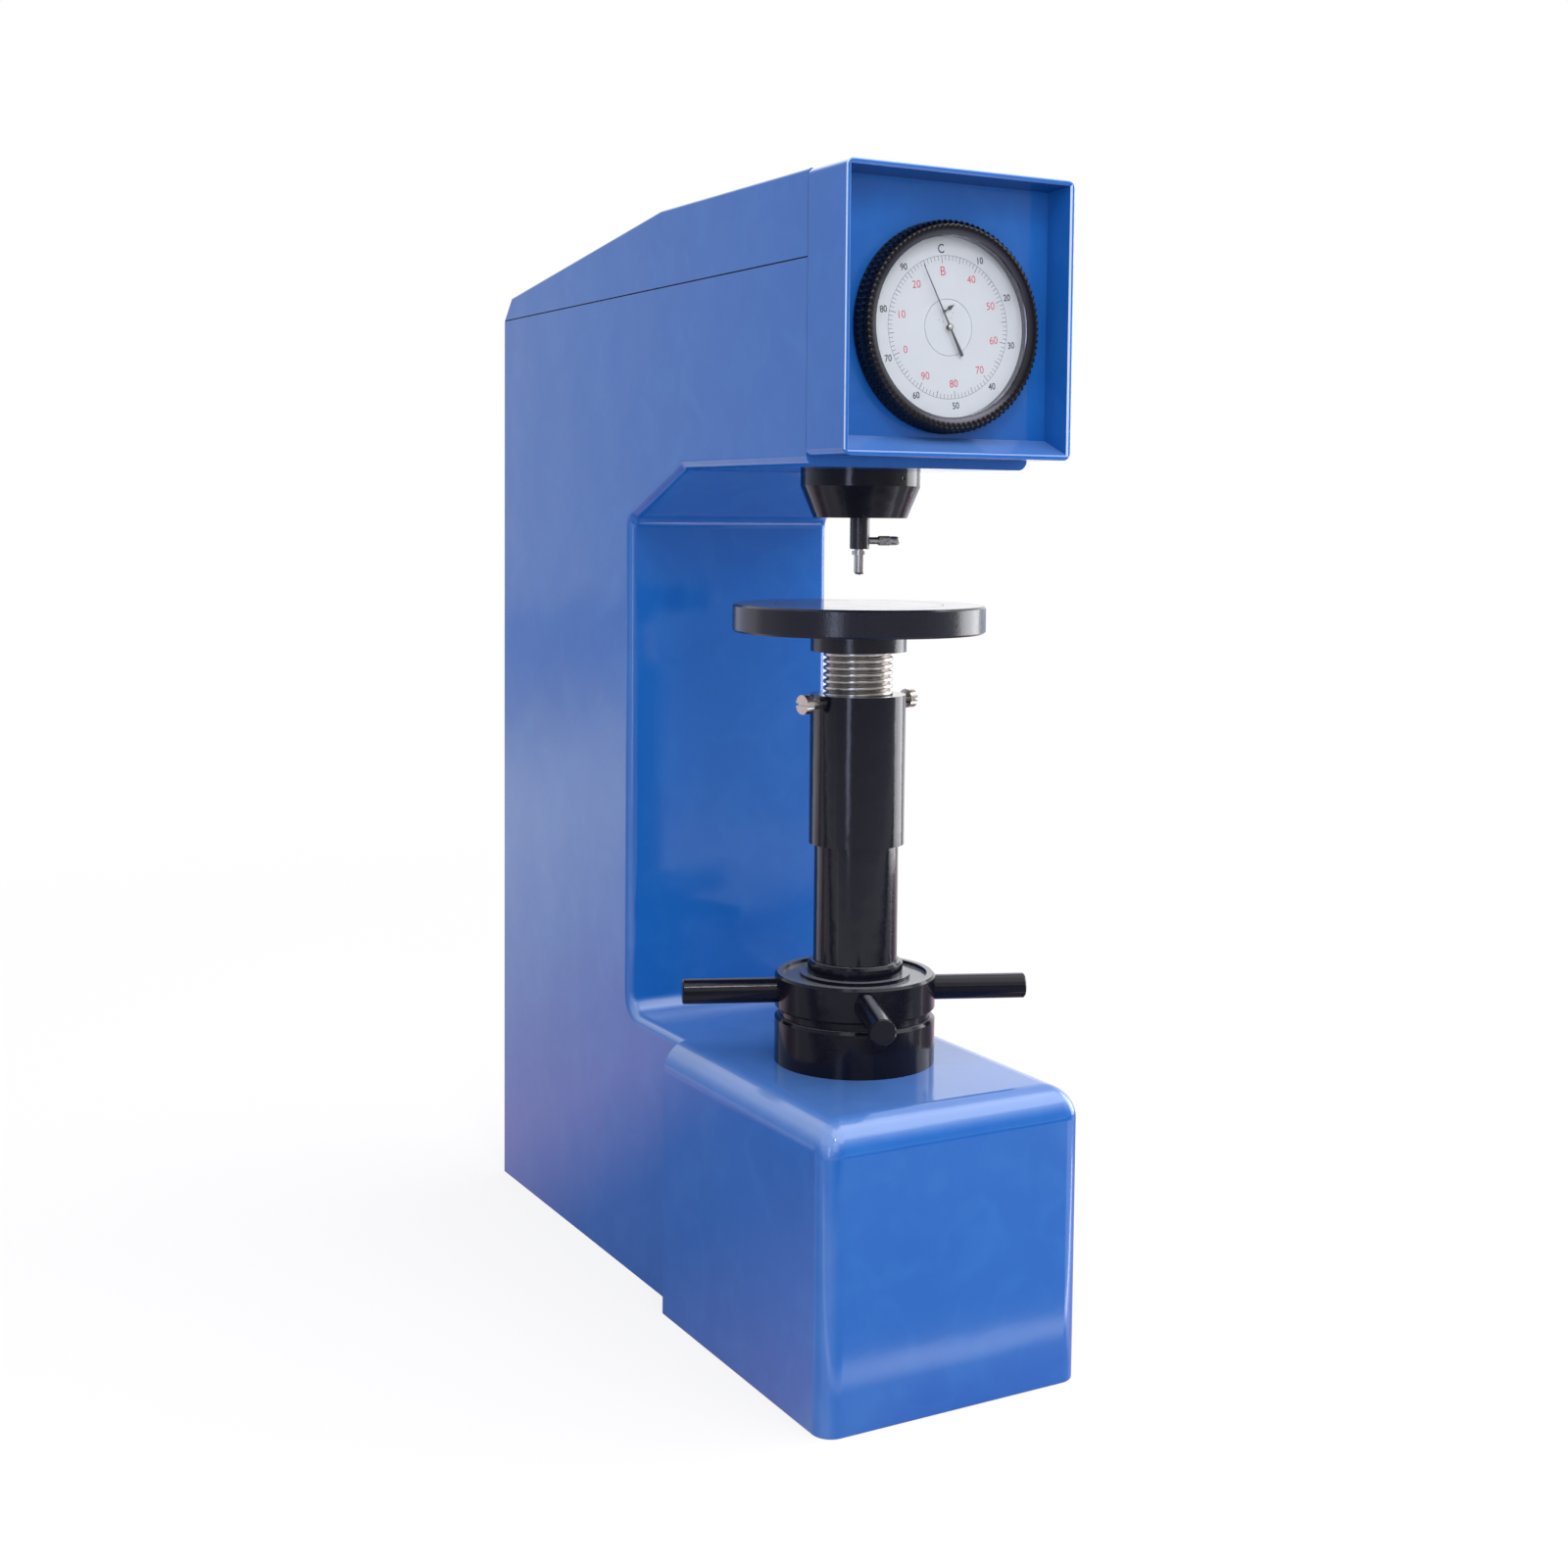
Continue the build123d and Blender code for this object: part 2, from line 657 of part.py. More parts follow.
with BuildPart() as dial_hood:
    with BuildSketch(Plane.XZ.offset(head_front)):
        with Locations((0, hood_middle_z)):
            RectangleRounded(2 * hood_half_width, hood_height, hood_corner_radius)
    extrude(amount=hood_depth)
    fillet(dial_hood.edges().group_by(Axis.Y)[0], hood_rim_radius)
    # Bevel round the mouth of the recess.
    with BuildSketch(Plane.XZ.offset(hood_front)):
        with Locations((0, (sill_front_z + recess_top_z) / 2)):
            Rectangle(
                2 * (hood_half_width - hood_rim + hood_mouth_bevel),
                recess_top_z - sill_front_z + 2 * hood_mouth_bevel,
            )
    with BuildSketch(Plane.XZ.offset(hood_front - hood_mouth_bevel)):
        with Locations((0, (sill_front_z + recess_top_z) / 2)):
            Rectangle(2 * (hood_half_width - hood_rim), recess_top_z - sill_front_z)
    loft(mode=Mode.SUBTRACT)
    # Rebate round the back, which leaves an open line where the hood meets the head.
    with BuildSketch(Plane.XZ.offset(head_front)):
        with Locations((0, hood_middle_z)):
            RectangleRounded(2 * hood_half_width, hood_height, hood_corner_radius)
            RectangleRounded(
                2 * (hood_half_width - seam_depth),
                hood_height - 2 * seam_depth,
                hood_corner_radius - seam_depth,
                mode=Mode.SUBTRACT,
            )
    extrude(amount=seam_gap, mode=Mode.SUBTRACT)
    # Recess with walls that draw in towards the panel and a steeper sill below.
    with BuildSketch(Plane.XZ.offset(hood_front)):
        with Locations((0, (sill_front_z + recess_top_z) / 2)):
            Rectangle(2 * (hood_half_width - hood_rim), recess_top_z - sill_front_z)
    with BuildSketch(Plane.XZ.offset(panel_front)):
        with Locations((0, (sill_back_z + recess_top_z - recess_taper) / 2)):
            Rectangle(
                2 * (hood_half_width - hood_rim - recess_taper),
                recess_top_z - recess_taper - sill_back_z,
            )
    loft(mode=Mode.SUBTRACT)
    # Hollow behind the panel, open to the head.
    with BuildSketch(Plane.XZ.offset(head_front)):
        with Locations((0, (sill_front_z + recess_top_z) / 2)):
            Rectangle(2 * (hood_half_width - hood_rim), recess_top_z - sill_front_z)
    extrude(amount=panel_back - head_front, mode=Mode.SUBTRACT)
    with BuildSketch(Plane.XZ.offset(panel_back)):
        with Locations((0, dial_z)):
            Circle(gauge_body_radius + spigot_gap)
    extrude(amount=panel_thickness, mode=Mode.SUBTRACT)
dial_hood.part.label = "dial_hood"
export_step(dial_hood.part, "parts/dial_hood.step")


# ---- Dial gauge --------------------------------------------------------------------------------------------
with BuildPart() as gauge_case:
    with BuildSketch(Plane.XZ.offset(gauge_flange_front)):
        with Locations((0, dial_z)):
            Circle(gauge_flange_radius)
    extrude(amount=-gauge_flange_thickness)
    with BuildSketch(Plane.XZ.offset(panel_front)):
        with Locations((0, dial_z)):
            Circle(gauge_body_radius)
    extrude(amount=head_front + 2 * moving_gap - panel_front)
    # Plunger stem below the case, bored up into the case.
    with BuildSketch(Plane.XY.offset(gauge_bottom_z - gauge_stem_length)):
        with Locations((0, -plunger_setback)):
            Circle(gauge_stem_radius)
    extrude(amount=gauge_stem_length + gauge_stem_radius)
    with BuildSketch(Plane.XY.offset(gauge_bottom_z - gauge_stem_length)):
        with Locations((0, -plunger_setback)):
            Circle(plunger_radius + running_gap)
    extrude(amount=gauge_stem_length + plunger_inside, mode=Mode.SUBTRACT)
    # Bearings of the two pointer staffs.
    with BuildSketch(Plane.XZ.offset(gauge_flange_front)):
        with Locations((0, dial_z)):
            Circle(pointer_staff_radius + running_gap)
        with Locations((small_pointer_x, dial_z + small_pointer_rise)):
            Circle(small_staff_radius + running_gap)
    extrude(amount=-gauge_flange_thickness, mode=Mode.SUBTRACT)
gauge_case.part.label = "gauge_case"
export_step(gauge_case.part, "parts/gauge_case.step")

with BuildPart() as gauge_plunger:
    with BuildSketch(Plane.XY.offset(plunger_bottom_z)):
        with Locations((0, -plunger_setback)):
            Circle(plunger_radius)
    extrude(amount=gauge_bottom_z - plunger_bottom_z + plunger_inside / 2)
    chamfer(gauge_plunger.edges().group_by(Axis.Z)[0], plunger_radius / 3)
gauge_plunger.part.label = "gauge_plunger"
export_step(gauge_plunger.part, "parts/gauge_plunger.step")

with BuildPart() as dial_centre:
    with BuildSketch(Plane.XZ.offset(gauge_flange_front)):
        with Locations((0, dial_z)):
            Circle(dial_ring_inner - moving_gap)
            Circle(pointer_staff_radius + moving_gap, mode=Mode.SUBTRACT)
        with Locations((small_pointer_x, dial_z + small_pointer_rise)):
            Circle(small_staff_radius + moving_gap, mode=Mode.SUBTRACT)
    extrude(amount=dial_front - gauge_flange_front)
dial_centre.part.label = "dial_centre"
export_step(dial_centre.part, "parts/dial_centre.step")

dial_ring = turned(ring(dial_ring_radius, dial_ring_inner, -dial_front, -dial_back), dial_axis)
dial_ring.part.label = "dial_ring"
export_step(dial_ring.part, "parts/dial_ring.step")

# Bezel: bevelled rim, seat for the glass, shoulder over the dial ring, skirt round the case flange.
bezel_opening = bezel_radius - bezel_lip
bezel_throat = bezel_opening - bezel_shoulder
bezel = turned(
    (
        (bezel_radius, -bezel_back),
        (bezel_radius, -bezel_front + bezel_bevel_depth),
        (bezel_radius - bezel_bevel, -bezel_front),
        (bezel_opening, -bezel_front),
        (bezel_opening, -glass_back),
        (bezel_throat, -glass_back),
        (bezel_throat, -dial_front),
        (dial_ring_radius + moving_gap, -dial_front),
        (dial_ring_radius + moving_gap, -bezel_back),
    ),
    dial_axis,
)
bezel.part.label = "bezel"
export_step(bezel.part, "parts/bezel.step")

glass_radius = bezel_opening - spigot_gap
dial_glass = turned(ring(glass_radius, 0, -glass_front, -glass_back), dial_axis)
dial_glass.part.label = "dial_glass"
export_step(dial_glass.part, "parts/dial_glass.step")


def hand_plane(x, rise, angle, front):
    """Plane on the face of the dial, turned so that its local y runs along a hand."""
    slant = math.radians(angle)
    return Plane(
        origin=(x, -front, dial_z + rise),
        x_dir=(math.cos(slant), 0, -math.sin(slant)),
        z_dir=(0, -1, 0),
    )


pointer_back = dial_front + pointer_lift
with BuildPart() as pointer:
    with BuildSketch(hand_plane(0, 0, pointer_angle, pointer_back)):
        with BuildLine():
            Polyline(
                (-pointer_waist, 0),
                (-pointer_tail_half_width, -pointer_tail),
                (pointer_tail_half_width, -pointer_tail),
                (pointer_waist, 0),
                (pointer_thickness / 2, pointer_tip),
                (-pointer_thickness / 2, pointer_tip),
                close=True,
            )
        make_face()
        Circle(pointer_hub_radius)
    extrude(amount=pointer_thickness)
    with BuildSketch(hand_plane(0, 0, 0, pointer_back)):
        Circle(pointer_hub_radius)
    extrude(amount=2 * pointer_thickness)
    with BuildSketch(hand_plane(0, 0, 0, pointer_back)):
        Circle(pointer_staff_radius)
    extrude(amount=gauge_flange_front - pointer_back - gauge_flange_thickness / 2)
pointer.part.label = "pointer"
export_step(pointer.part, "parts/pointer.step")

small_pointer_back = dial_front + small_pointer_lift
with BuildPart() as small_pointer:
    with BuildSketch(
        hand_plane(small_pointer_x, small_pointer_rise, small_pointer_angle, small_pointer_back)
    ):
        with BuildLine():
            Polyline(
                (0, -small_pointer_half_width),
                (small_pointer_neck, small_pointer_length / 3),
                (small_pointer_half_width, small_pointer_length / 2),
                (0, small_pointer_length),
                (-small_pointer_half_width, small_pointer_length / 2),
                (-small_pointer_neck, small_pointer_length / 3),
                close=True,
            )
        make_face()
        Circle(small_pointer_hub_radius)
    extrude(amount=small_pointer_thickness)
    with BuildSketch(hand_plane(small_pointer_x, small_pointer_rise, 0, small_pointer_back)):
        Circle(small_staff_radius)
    extrude(amount=gauge_flange_front - small_pointer_back - gauge_flange_thickness / 2)
small_pointer.part.label = "small_pointer"
export_step(small_pointer.part, "parts/small_pointer.step")


# ---- Nose cone, spindle bush and spindle ---------------------------------------------------------------
cone_bore = bush_radius + spigot_gap
nose_cone = turned(
    (
        (spindle_neck_radius + tube_gap, cone_bottom_z),
        (cone_tip_radius, cone_bottom_z),
        (cone_radius, head_underside_z - cone_rim_height),
        (cone_radius, head_underside_z),
        (cone_bore, head_underside_z),
        (cone_bore, cone_bottom_z + cone_sole),
        (spindle_neck_radius + tube_gap, cone_bottom_z + cone_sole),
    ),
    upright(),
)
nose_cone.part.label = "nose_cone"
export_step(nose_cone.part, "parts/nose_cone.step")

bush_flange_top_z = head_floor_z + bush_flange_thickness
spindle_head_bottom_z = knife_z - moving_gap - spindle_head_height + knife_bevel / 2
bush_bottom_z = cone_bottom_z + cone_sole + moving_gap
spindle_bush = turned(
    (
        (spindle_radius + running_gap, bush_bottom_z),
        (bush_radius, bush_bottom_z),
        (bush_radius, head_floor_z),
        (bush_flange_radius, head_floor_z),
        (bush_flange_radius, bush_flange_top_z),
        (bush_top_radius, bush_flange_top_z),
        (bush_top_radius, spindle_head_bottom_z - moving_gap),
        (spindle_radius + running_gap, spindle_head_bottom_z - moving_gap),
    ),
    upright(),
)
spindle_bush.part.label = "spindle_bush"
export_step(spindle_bush.part, "parts/spindle_bush.step")

spindle_head_top_z = spindle_head_bottom_z + spindle_head_height
spindle_step_z = bush_bottom_z + 2 * moving_gap
thumb_screw_z = spindle_bottom_z + thumb_screw_rise
with BuildPart() as spindle:
    with BuildSketch(upright()):
        with BuildLine():
            Polyline(
                (0, spindle_bottom_z + chuck_depth),
                (chuck_radius, spindle_bottom_z + chuck_depth),
                (chuck_radius, spindle_bottom_z),
                (spindle_neck_radius - spindle_edge, spindle_bottom_z),
                (spindle_neck_radius, spindle_bottom_z + spindle_edge),
                (spindle_neck_radius, spindle_step_z),
                (spindle_radius, spindle_step_z),
                (spindle_radius, spindle_head_bottom_z),
                (spindle_head_radius, spindle_head_bottom_z),
                (spindle_head_radius, spindle_head_top_z),
                (0, spindle_head_top_z),
                close=True,
            )
        make_face()
    revolve(axis=Axis.Z)
    # V seat for the load knife, across the head.
    with BuildSketch(Plane.YZ):
        with BuildLine():
            Polyline(
                (0, knife_z - moving_gap),
                (load_knife_half_width, spindle_head_top_z),
                (-load_knife_half_width, spindle_head_top_z),
                close=True,
            )
        make_face()
    extrude(amount=spindle_head_radius, both=True, mode=Mode.SUBTRACT)
    # Tapped side hole for the thumb screw.
    with BuildSketch(across_plane(thumb_screw_angle, thumb_screw_z)):
        Circle(thumb_neck_radius + spigot_gap)
    extrude(amount=spindle_neck_radius, mode=Mode.SUBTRACT)
spindle.part.label = "spindle"
export_step(spindle.part, "parts/spindle.step")

thumb_screw = turned(
    (
        (0, indenter_radius + spigot_gap),
        (thumb_neck_radius, indenter_radius + spigot_gap),
        (thumb_neck_radius, thumb_neck_end),
        (thumb_grip_radius, thumb_neck_end),
        (thumb_grip_radius, thumb_grip_end),
        (0, thumb_grip_end),
    ),
    radial(thumb_screw_angle, thumb_screw_z),
)
thumb_screw.part.label = "thumb_screw"
export_step(thumb_screw.part, "parts/thumb_screw.step")

indenter_body = turned(
    (
        (0, cap_top_z),
        (indenter_radius, cap_top_z),
        (indenter_radius, indenter_collar_bottom_z),
        (indenter_collar_radius, indenter_collar_bottom_z),
        (indenter_collar_radius, indenter_collar_top_z),
        (indenter_radius, indenter_collar_top_z),
        (indenter_radius, spindle_bottom_z + chuck_depth - indenter_gap),
        (0, spindle_bottom_z + chuck_depth - indenter_gap),
    ),
    upright(),
)
indenter_body.part.label = "indenter_body"
export_step(indenter_body.part, "parts/indenter_body.step")

ball_z = indenter_tip_z + ball_radius
with BuildPart() as indenter_cap:
    with BuildSketch(Plane.XY.offset(cap_bottom_z)):
        Circle(indenter_radius)
    extrude(amount=indenter_cap_height)
    chamfer(indenter_cap.edges().group_by(Axis.Z)[0], indenter_radius / 3)
    with Locations((0, 0, ball_z)):
        Sphere(ball_radius + spigot_gap, mode=Mode.SUBTRACT)
indenter_cap.part.label = "indenter_cap"
export_step(indenter_cap.part, "parts/indenter_cap.step")

with BuildPart() as indenter_ball:
    with Locations((0, 0, ball_z)):
        Sphere(ball_radius)
indenter_ball.part.label = "indenter_ball"
export_step(indenter_ball.part, "parts/indenter_ball.step")


# ---- Anvil -------------------------------------------------------------------------------------------------
with BuildPart() as anvil:
    with BuildSketch(Plane.XY.offset(anvil_bottom_z)):
        Circle(anvil_radius)
    extrude(amount=anvil_thickness)
    chamfer(anvil.edges(), anvil_edge)
    with BuildSketch(Plane.XY.offset(anvil_top_z)):
        for groove_radius in anvil_groove_radii:
            Circle(groove_radius + anvil_groove / 2)
            Circle(groove_radius - anvil_groove / 2, mode=Mode.SUBTRACT)
    extrude(amount=-anvil_groove, mode=Mode.SUBTRACT)
    with BuildSketch(Plane.XY.offset(screw_top_z)):
        Circle(anvil_hub_radius)
    extrude(amount=anvil_hub_height)
    with BuildSketch(Plane.XY.offset(screw_top_z)):
        Circle(anvil_stem_radius)
    extrude(amount=-anvil_stem_length)
anvil.part.label = "anvil"
export_step(anvil.part, "parts/anvil.step")


# ---- Elevating screw -------------------------------------------------------------------------------------
keyway_top_z = guide_flange_z + screw_travel_down + screw_end_margin
with BuildPart() as elevating_screw:
    with BuildSketch(Plane.XY.offset(screw_bottom_z)):
        Circle(screw_radius)
    extrude(amount=screw_top_z - screw_bottom_z)
    chamfer(elevating_screw.edges().group_by(Axis.Z)[0], screw_end_chamfer)
    with BuildSketch(Plane.XY.offset(screw_top_z)):
        Circle(anvil_stem_radius + spigot_gap)
    extrude(amount=-(anvil_stem_length + indenter_gap), mode=Mode.SUBTRACT)
    with BuildSketch(Plane.XY.offset(screw_bottom_z)):
        with Locations((0, screw_radius)):
            Rectangle(2 * keyway_half_width, 2 * keyway_depth)
    extrude(amount=keyway_top_z - screw_bottom_z, mode=Mode.SUBTRACT)
elevating_screw.part.label = "elevating_screw"
export_step(elevating_screw.part, "parts/elevating_screw.step")

key_inner = screw_radius - keyway_depth + moving_gap
key_outer = screw_radius + key_seat
with BuildPart() as screw_guide_bush:
    with BuildSketch(Plane.XY.offset(guide_flange_z)):
        Circle(guide_bush_radius)
    extrude(amount=-guide_bush_length)
    with BuildSketch(Plane.XY.offset(guide_flange_z)):
        Circle(bearing_outer)
    extrude(amount=-guide_flange_thickness)
    with BuildSketch(Plane.XY.offset(guide_flange_z)):
        Circle(screw_radius + running_gap)
    extrude(amount=-guide_bush_length, mode=Mode.SUBTRACT)
    # Feather key that stops the screw from turning.
    with BuildSketch(Plane.XY.offset(guide_flange_z - guide_bush_length)):
        with Locations((0, (key_inner + key_outer) / 2)):
            Rectangle(2 * key_half_width, key_outer - key_inner)
    extrude(amount=key_height)
screw_guide_bush.part.label = "screw_guide_bush"
export_step(screw_guide_bush.part, "parts/screw_guide_bush.step")


# ---- Guard tubes and clamp screws ------------------------------------------------------------------------
with BuildPart() as upper_tube:
    with BuildSketch(Plane.XY.offset(upper_tube_bottom_z)):
        Circle(upper_tube_radius)
        Circle(lower_tube_radius + tube_gap, mode=Mode.SUBTRACT)
    extrude(amount=upper_tube_length - clamp_ring_height)
    with BuildSketch(Plane.XY.offset(clamp_ring_bottom_z)):
        Circle(upper_tube_radius)
        Circle(screw_radius + spigot_gap, mode=Mode.SUBTRACT)
    extrude(amount=clamp_ring_height)
    for angle in clamp_screw_angles:
        with BuildSketch(across_plane(angle, clamp_screw_z)):
            Circle(clamp_screw_radius + running_gap)
        extrude(amount=upper_tube_radius, mode=Mode.SUBTRACT)
upper_tube.part.label = "upper_tube"
export_step(upper_tube.part, "parts/upper_tube.step")

with BuildPart() as clamp_screws:
    for angle in clamp_screw_angles:
        with BuildSketch(across_plane(angle, clamp_screw_z).offset(screw_radius + spigot_gap)):
            Circle(clamp_screw_radius)
        extrude(amount=clamp_screw_shank_end - screw_radius - spigot_gap)
        head_face = clamp_screw_shank_end + clamp_screw_head_height
        with BuildSketch(across_plane(angle, clamp_screw_z).offset(head_face)):
            Circle(clamp_screw_head_radius)
        extrude(amount=-clamp_screw_head_height)
        with BuildSketch(across_plane(angle, clamp_screw_z).offset(head_face)):
            Rectangle(2 * clamp_screw_head_radius, clamp_screw_slot)
        extrude(amount=-clamp_screw_slot_depth, mode=Mode.SUBTRACT)
clamp_screws.part.label = "clamp_screws"
export_step(clamp_screws.part, "parts/clamp_screws.step")

lower_tube = turned(
    ring(lower_tube_radius, lower_tube_radius - lower_tube_wall, wheel_top_z, lower_tube_top_z),
    upright(),
)
lower_tube.part.label = "lower_tube"
export_step(lower_tube.part, "parts/lower_tube.step")


# ---- Bearing housing, thrust bearing and handwheel -------------------------------------------------------
bearing_seat = bearing_outer + moving_gap
screw_collar = turned(
    (
        (bearing_seat, base_height),
        (wheel_radius, base_height),
        (wheel_radius, collar_top_z - wheel_edge),
        (wheel_radius - wheel_edge, collar_top_z),
        (bearing_seat, collar_top_z),
    ),
    upright(),
)
screw_collar.part.label = "screw_collar"
export_step(screw_collar.part, "parts/screw_collar.step")

with BuildPart() as bearing_lower_race:
    with BuildSketch(Plane.XY.offset(guide_flange_z)):
        Circle(bearing_outer)
        Circle(bearing_bore, mode=Mode.SUBTRACT)
    extrude(amount=race_thickness)
    with Locations((0, 0, bearing_ball_z)):
        Torus(ball_circle_radius, bearing_ball_radius + moving_gap, mode=Mode.SUBTRACT)
bearing_lower_race.part.label = "bearing_lower_race"
export_step(bearing_lower_race.part, "parts/bearing_lower_race.step")

with BuildPart() as bearing_upper_race:
    with BuildSketch(Plane.XY.offset(upper_race_bottom_z)):
        Circle(bearing_outer)
        Circle(bearing_bore, mode=Mode.SUBTRACT)
    extrude(amount=race_thickness)
    with Locations((0, 0, bearing_ball_z)):
        Torus(ball_circle_radius, bearing_ball_radius + moving_gap, mode=Mode.SUBTRACT)
bearing_upper_race.part.label = "bearing_upper_race"
export_step(bearing_upper_race.part, "parts/bearing_upper_race.step")

with BuildPart() as bearing_balls:
    with Locations((0, 0, bearing_ball_z)):
        with PolarLocations(ball_circle_radius, bearing_ball_count):
            Sphere(bearing_ball_radius)
bearing_balls.part.label = "bearing_balls"
export_step(bearing_balls.part, "parts/bearing_balls.step")

with BuildPart() as handwheel_hub:
    with BuildSketch(upright()):
        with BuildLine():
            Polyline(
                (nut_radius + spigot_gap, upper_race_top_z),
                (bearing_outer, upper_race_top_z),
                (bearing_outer, wheel_flange_z),
                (wheel_radius - groove_inset, wheel_flange_z),
                (wheel_radius - groove_inset, wheel_bottom_z),
                (wheel_radius - wheel_edge, wheel_bottom_z),
                (wheel_radius, wheel_bottom_z + wheel_edge),
                (wheel_radius, wheel_top_z - wheel_edge),
                (wheel_radius - wheel_edge, wheel_top_z),
                (wheel_recess_outer, wheel_top_z),
                (wheel_recess_outer, wheel_top_z - wheel_recess_depth),
                (wheel_recess_inner, wheel_top_z - wheel_recess_depth),
                (wheel_recess_inner, wheel_top_z),
                (wheel_neck_radius, wheel_top_z),
                (wheel_neck_radius, wheel_neck_z - wheel_edge),
                (wheel_neck_radius - wheel_edge, wheel_neck_z),
                (lower_tube_radius + spigot_gap, wheel_neck_z),
                (lower_tube_radius + spigot_gap, wheel_top_z),
                (nut_radius + spigot_gap, wheel_top_z),
                close=True,
            )
        make_face()
    revolve(axis=Axis.Z)
    # Spot-faced and tapped holes for the four bars.
    for angle in bar_angles:
        with BuildSketch(across_plane(angle, bar_z).offset(bar_seat)):
            Circle(bar_radius + spigot_gap)
        extrude(amount=wheel_radius - bar_seat, mode=Mode.SUBTRACT)
        with BuildSketch(across_plane(angle, bar_z).offset(bar_seat)):
            Circle(bar_spigot_radius + spigot_gap)
        extrude(amount=-bar_spigot_depth - spigot_gap, mode=Mode.SUBTRACT)
handwheel_hub.part.label = "handwheel_hub"
export_step(handwheel_hub.part, "parts/handwheel_hub.step")

with BuildPart() as handwheel_bars:
    for angle in bar_angles:
        with BuildSketch(across_plane(angle, bar_z).offset(bar_seat)):
            Circle(bar_radius)
        extrude(amount=bar_tip - bar_seat)
        with BuildSketch(across_plane(angle, bar_z).offset(bar_seat)):
            Circle(bar_spigot_radius)
        extrude(amount=-bar_spigot_depth)
    chamfer(handwheel_bars.edges().filter_by(is_bar_tip), bar_edge)
handwheel_bars.part.label = "handwheel_bars"
export_step(handwheel_bars.part, "parts/handwheel_bars.step")

screw_nut = turned(
    ring(nut_radius, screw_radius + moving_gap, upper_race_top_z, wheel_top_z),
    upright(),
)
screw_nut.part.label = "screw_nut"
export_step(screw_nut.part, "parts/screw_nut.step")


# ---- Main lever, knives and fulcrum blocks -------------------------------------------------------------
def knife_outline(y, grow, half_width, bevel, depth):
    """Five-sided knife section with its edge up at (y, knife_z + grow)."""
    Polyline(
        (y, knife_z + grow),
        (y + half_width, knife_z - bevel),
        (y + half_width, knife_z - depth),
        (y - half_width, knife_z - depth),
        (y - half_width, knife_z - bevel),
        close=True,
    )


def knife(y, half_length):
    """Transverse knife bar with its edge up."""
    with BuildPart() as bar:
        with BuildSketch(Plane.YZ):
            with BuildLine():
                knife_outline(y, 0, knife_half_width, knife_bevel, knife_depth)
            make_face()
        extrude(amount=half_length, both=True)
    return bar


fulcrum_knife = knife(-fulcrum_reach, fulcrum_block_outer - moving_gap)
fulcrum_knife.part.label = "fulcrum_knife"
export_step(fulcrum_knife.part, "parts/fulcrum_knife.step")

hanger_knife = knife(hanger_reach, hanger_plate_inner + hanger_plate_thickness)
hanger_knife.part.label = "hanger_knife"
export_step(hanger_knife.part, "parts/hanger_knife.step")

with BuildPart() as load_knife:
    with BuildSketch(Plane.YZ):
        with BuildLine():
            Polyline(
                (0, knife_z),
                (load_knife_half_width, lever_bottom_z),
                (load_knife_half_width, knife_z + load_knife_height),
                (-load_knife_half_width, knife_z + load_knife_height),
                (-load_knife_half_width, lever_bottom_z),
                close=True,
            )
        make_face()
    extrude(amount=lever_half_width, both=True)
load_knife.part.label = "load_knife"
export_step(load_knife.part, "parts/load_knife.step")

with BuildPart() as fulcrum_blocks:
    for side in (-1, 1):
        with BuildSketch(Plane.YZ.offset(side * fulcrum_block_inner)):
            with BuildLine():
                Polyline(
                    (-fulcrum_reach - fulcrum_block_length / 2, head_floor_z),
                    (-fulcrum_reach + fulcrum_block_length / 2, head_floor_z),
                    (-fulcrum_reach + fulcrum_block_length / 2, knife_z),
                    (-fulcrum_reach + fulcrum_block_length / 4, knife_z + fulcrum_block_crown),
                    (-fulcrum_reach - fulcrum_block_length / 4, knife_z + fulcrum_block_crown),
                    (-fulcrum_reach - fulcrum_block_length / 2, knife_z),
                    close=True,
                )
            make_face()
            with BuildLine():
                knife_outline(
                    -fulcrum_reach, moving_gap, window_half_width, window_bevel, window_depth
                )
            make_face(mode=Mode.SUBTRACT)
        extrude(amount=side * (fulcrum_block_outer - fulcrum_block_inner))
fulcrum_blocks.part.label = "fulcrum_blocks"
export_step(fulcrum_blocks.part, "parts/fulcrum_blocks.step")

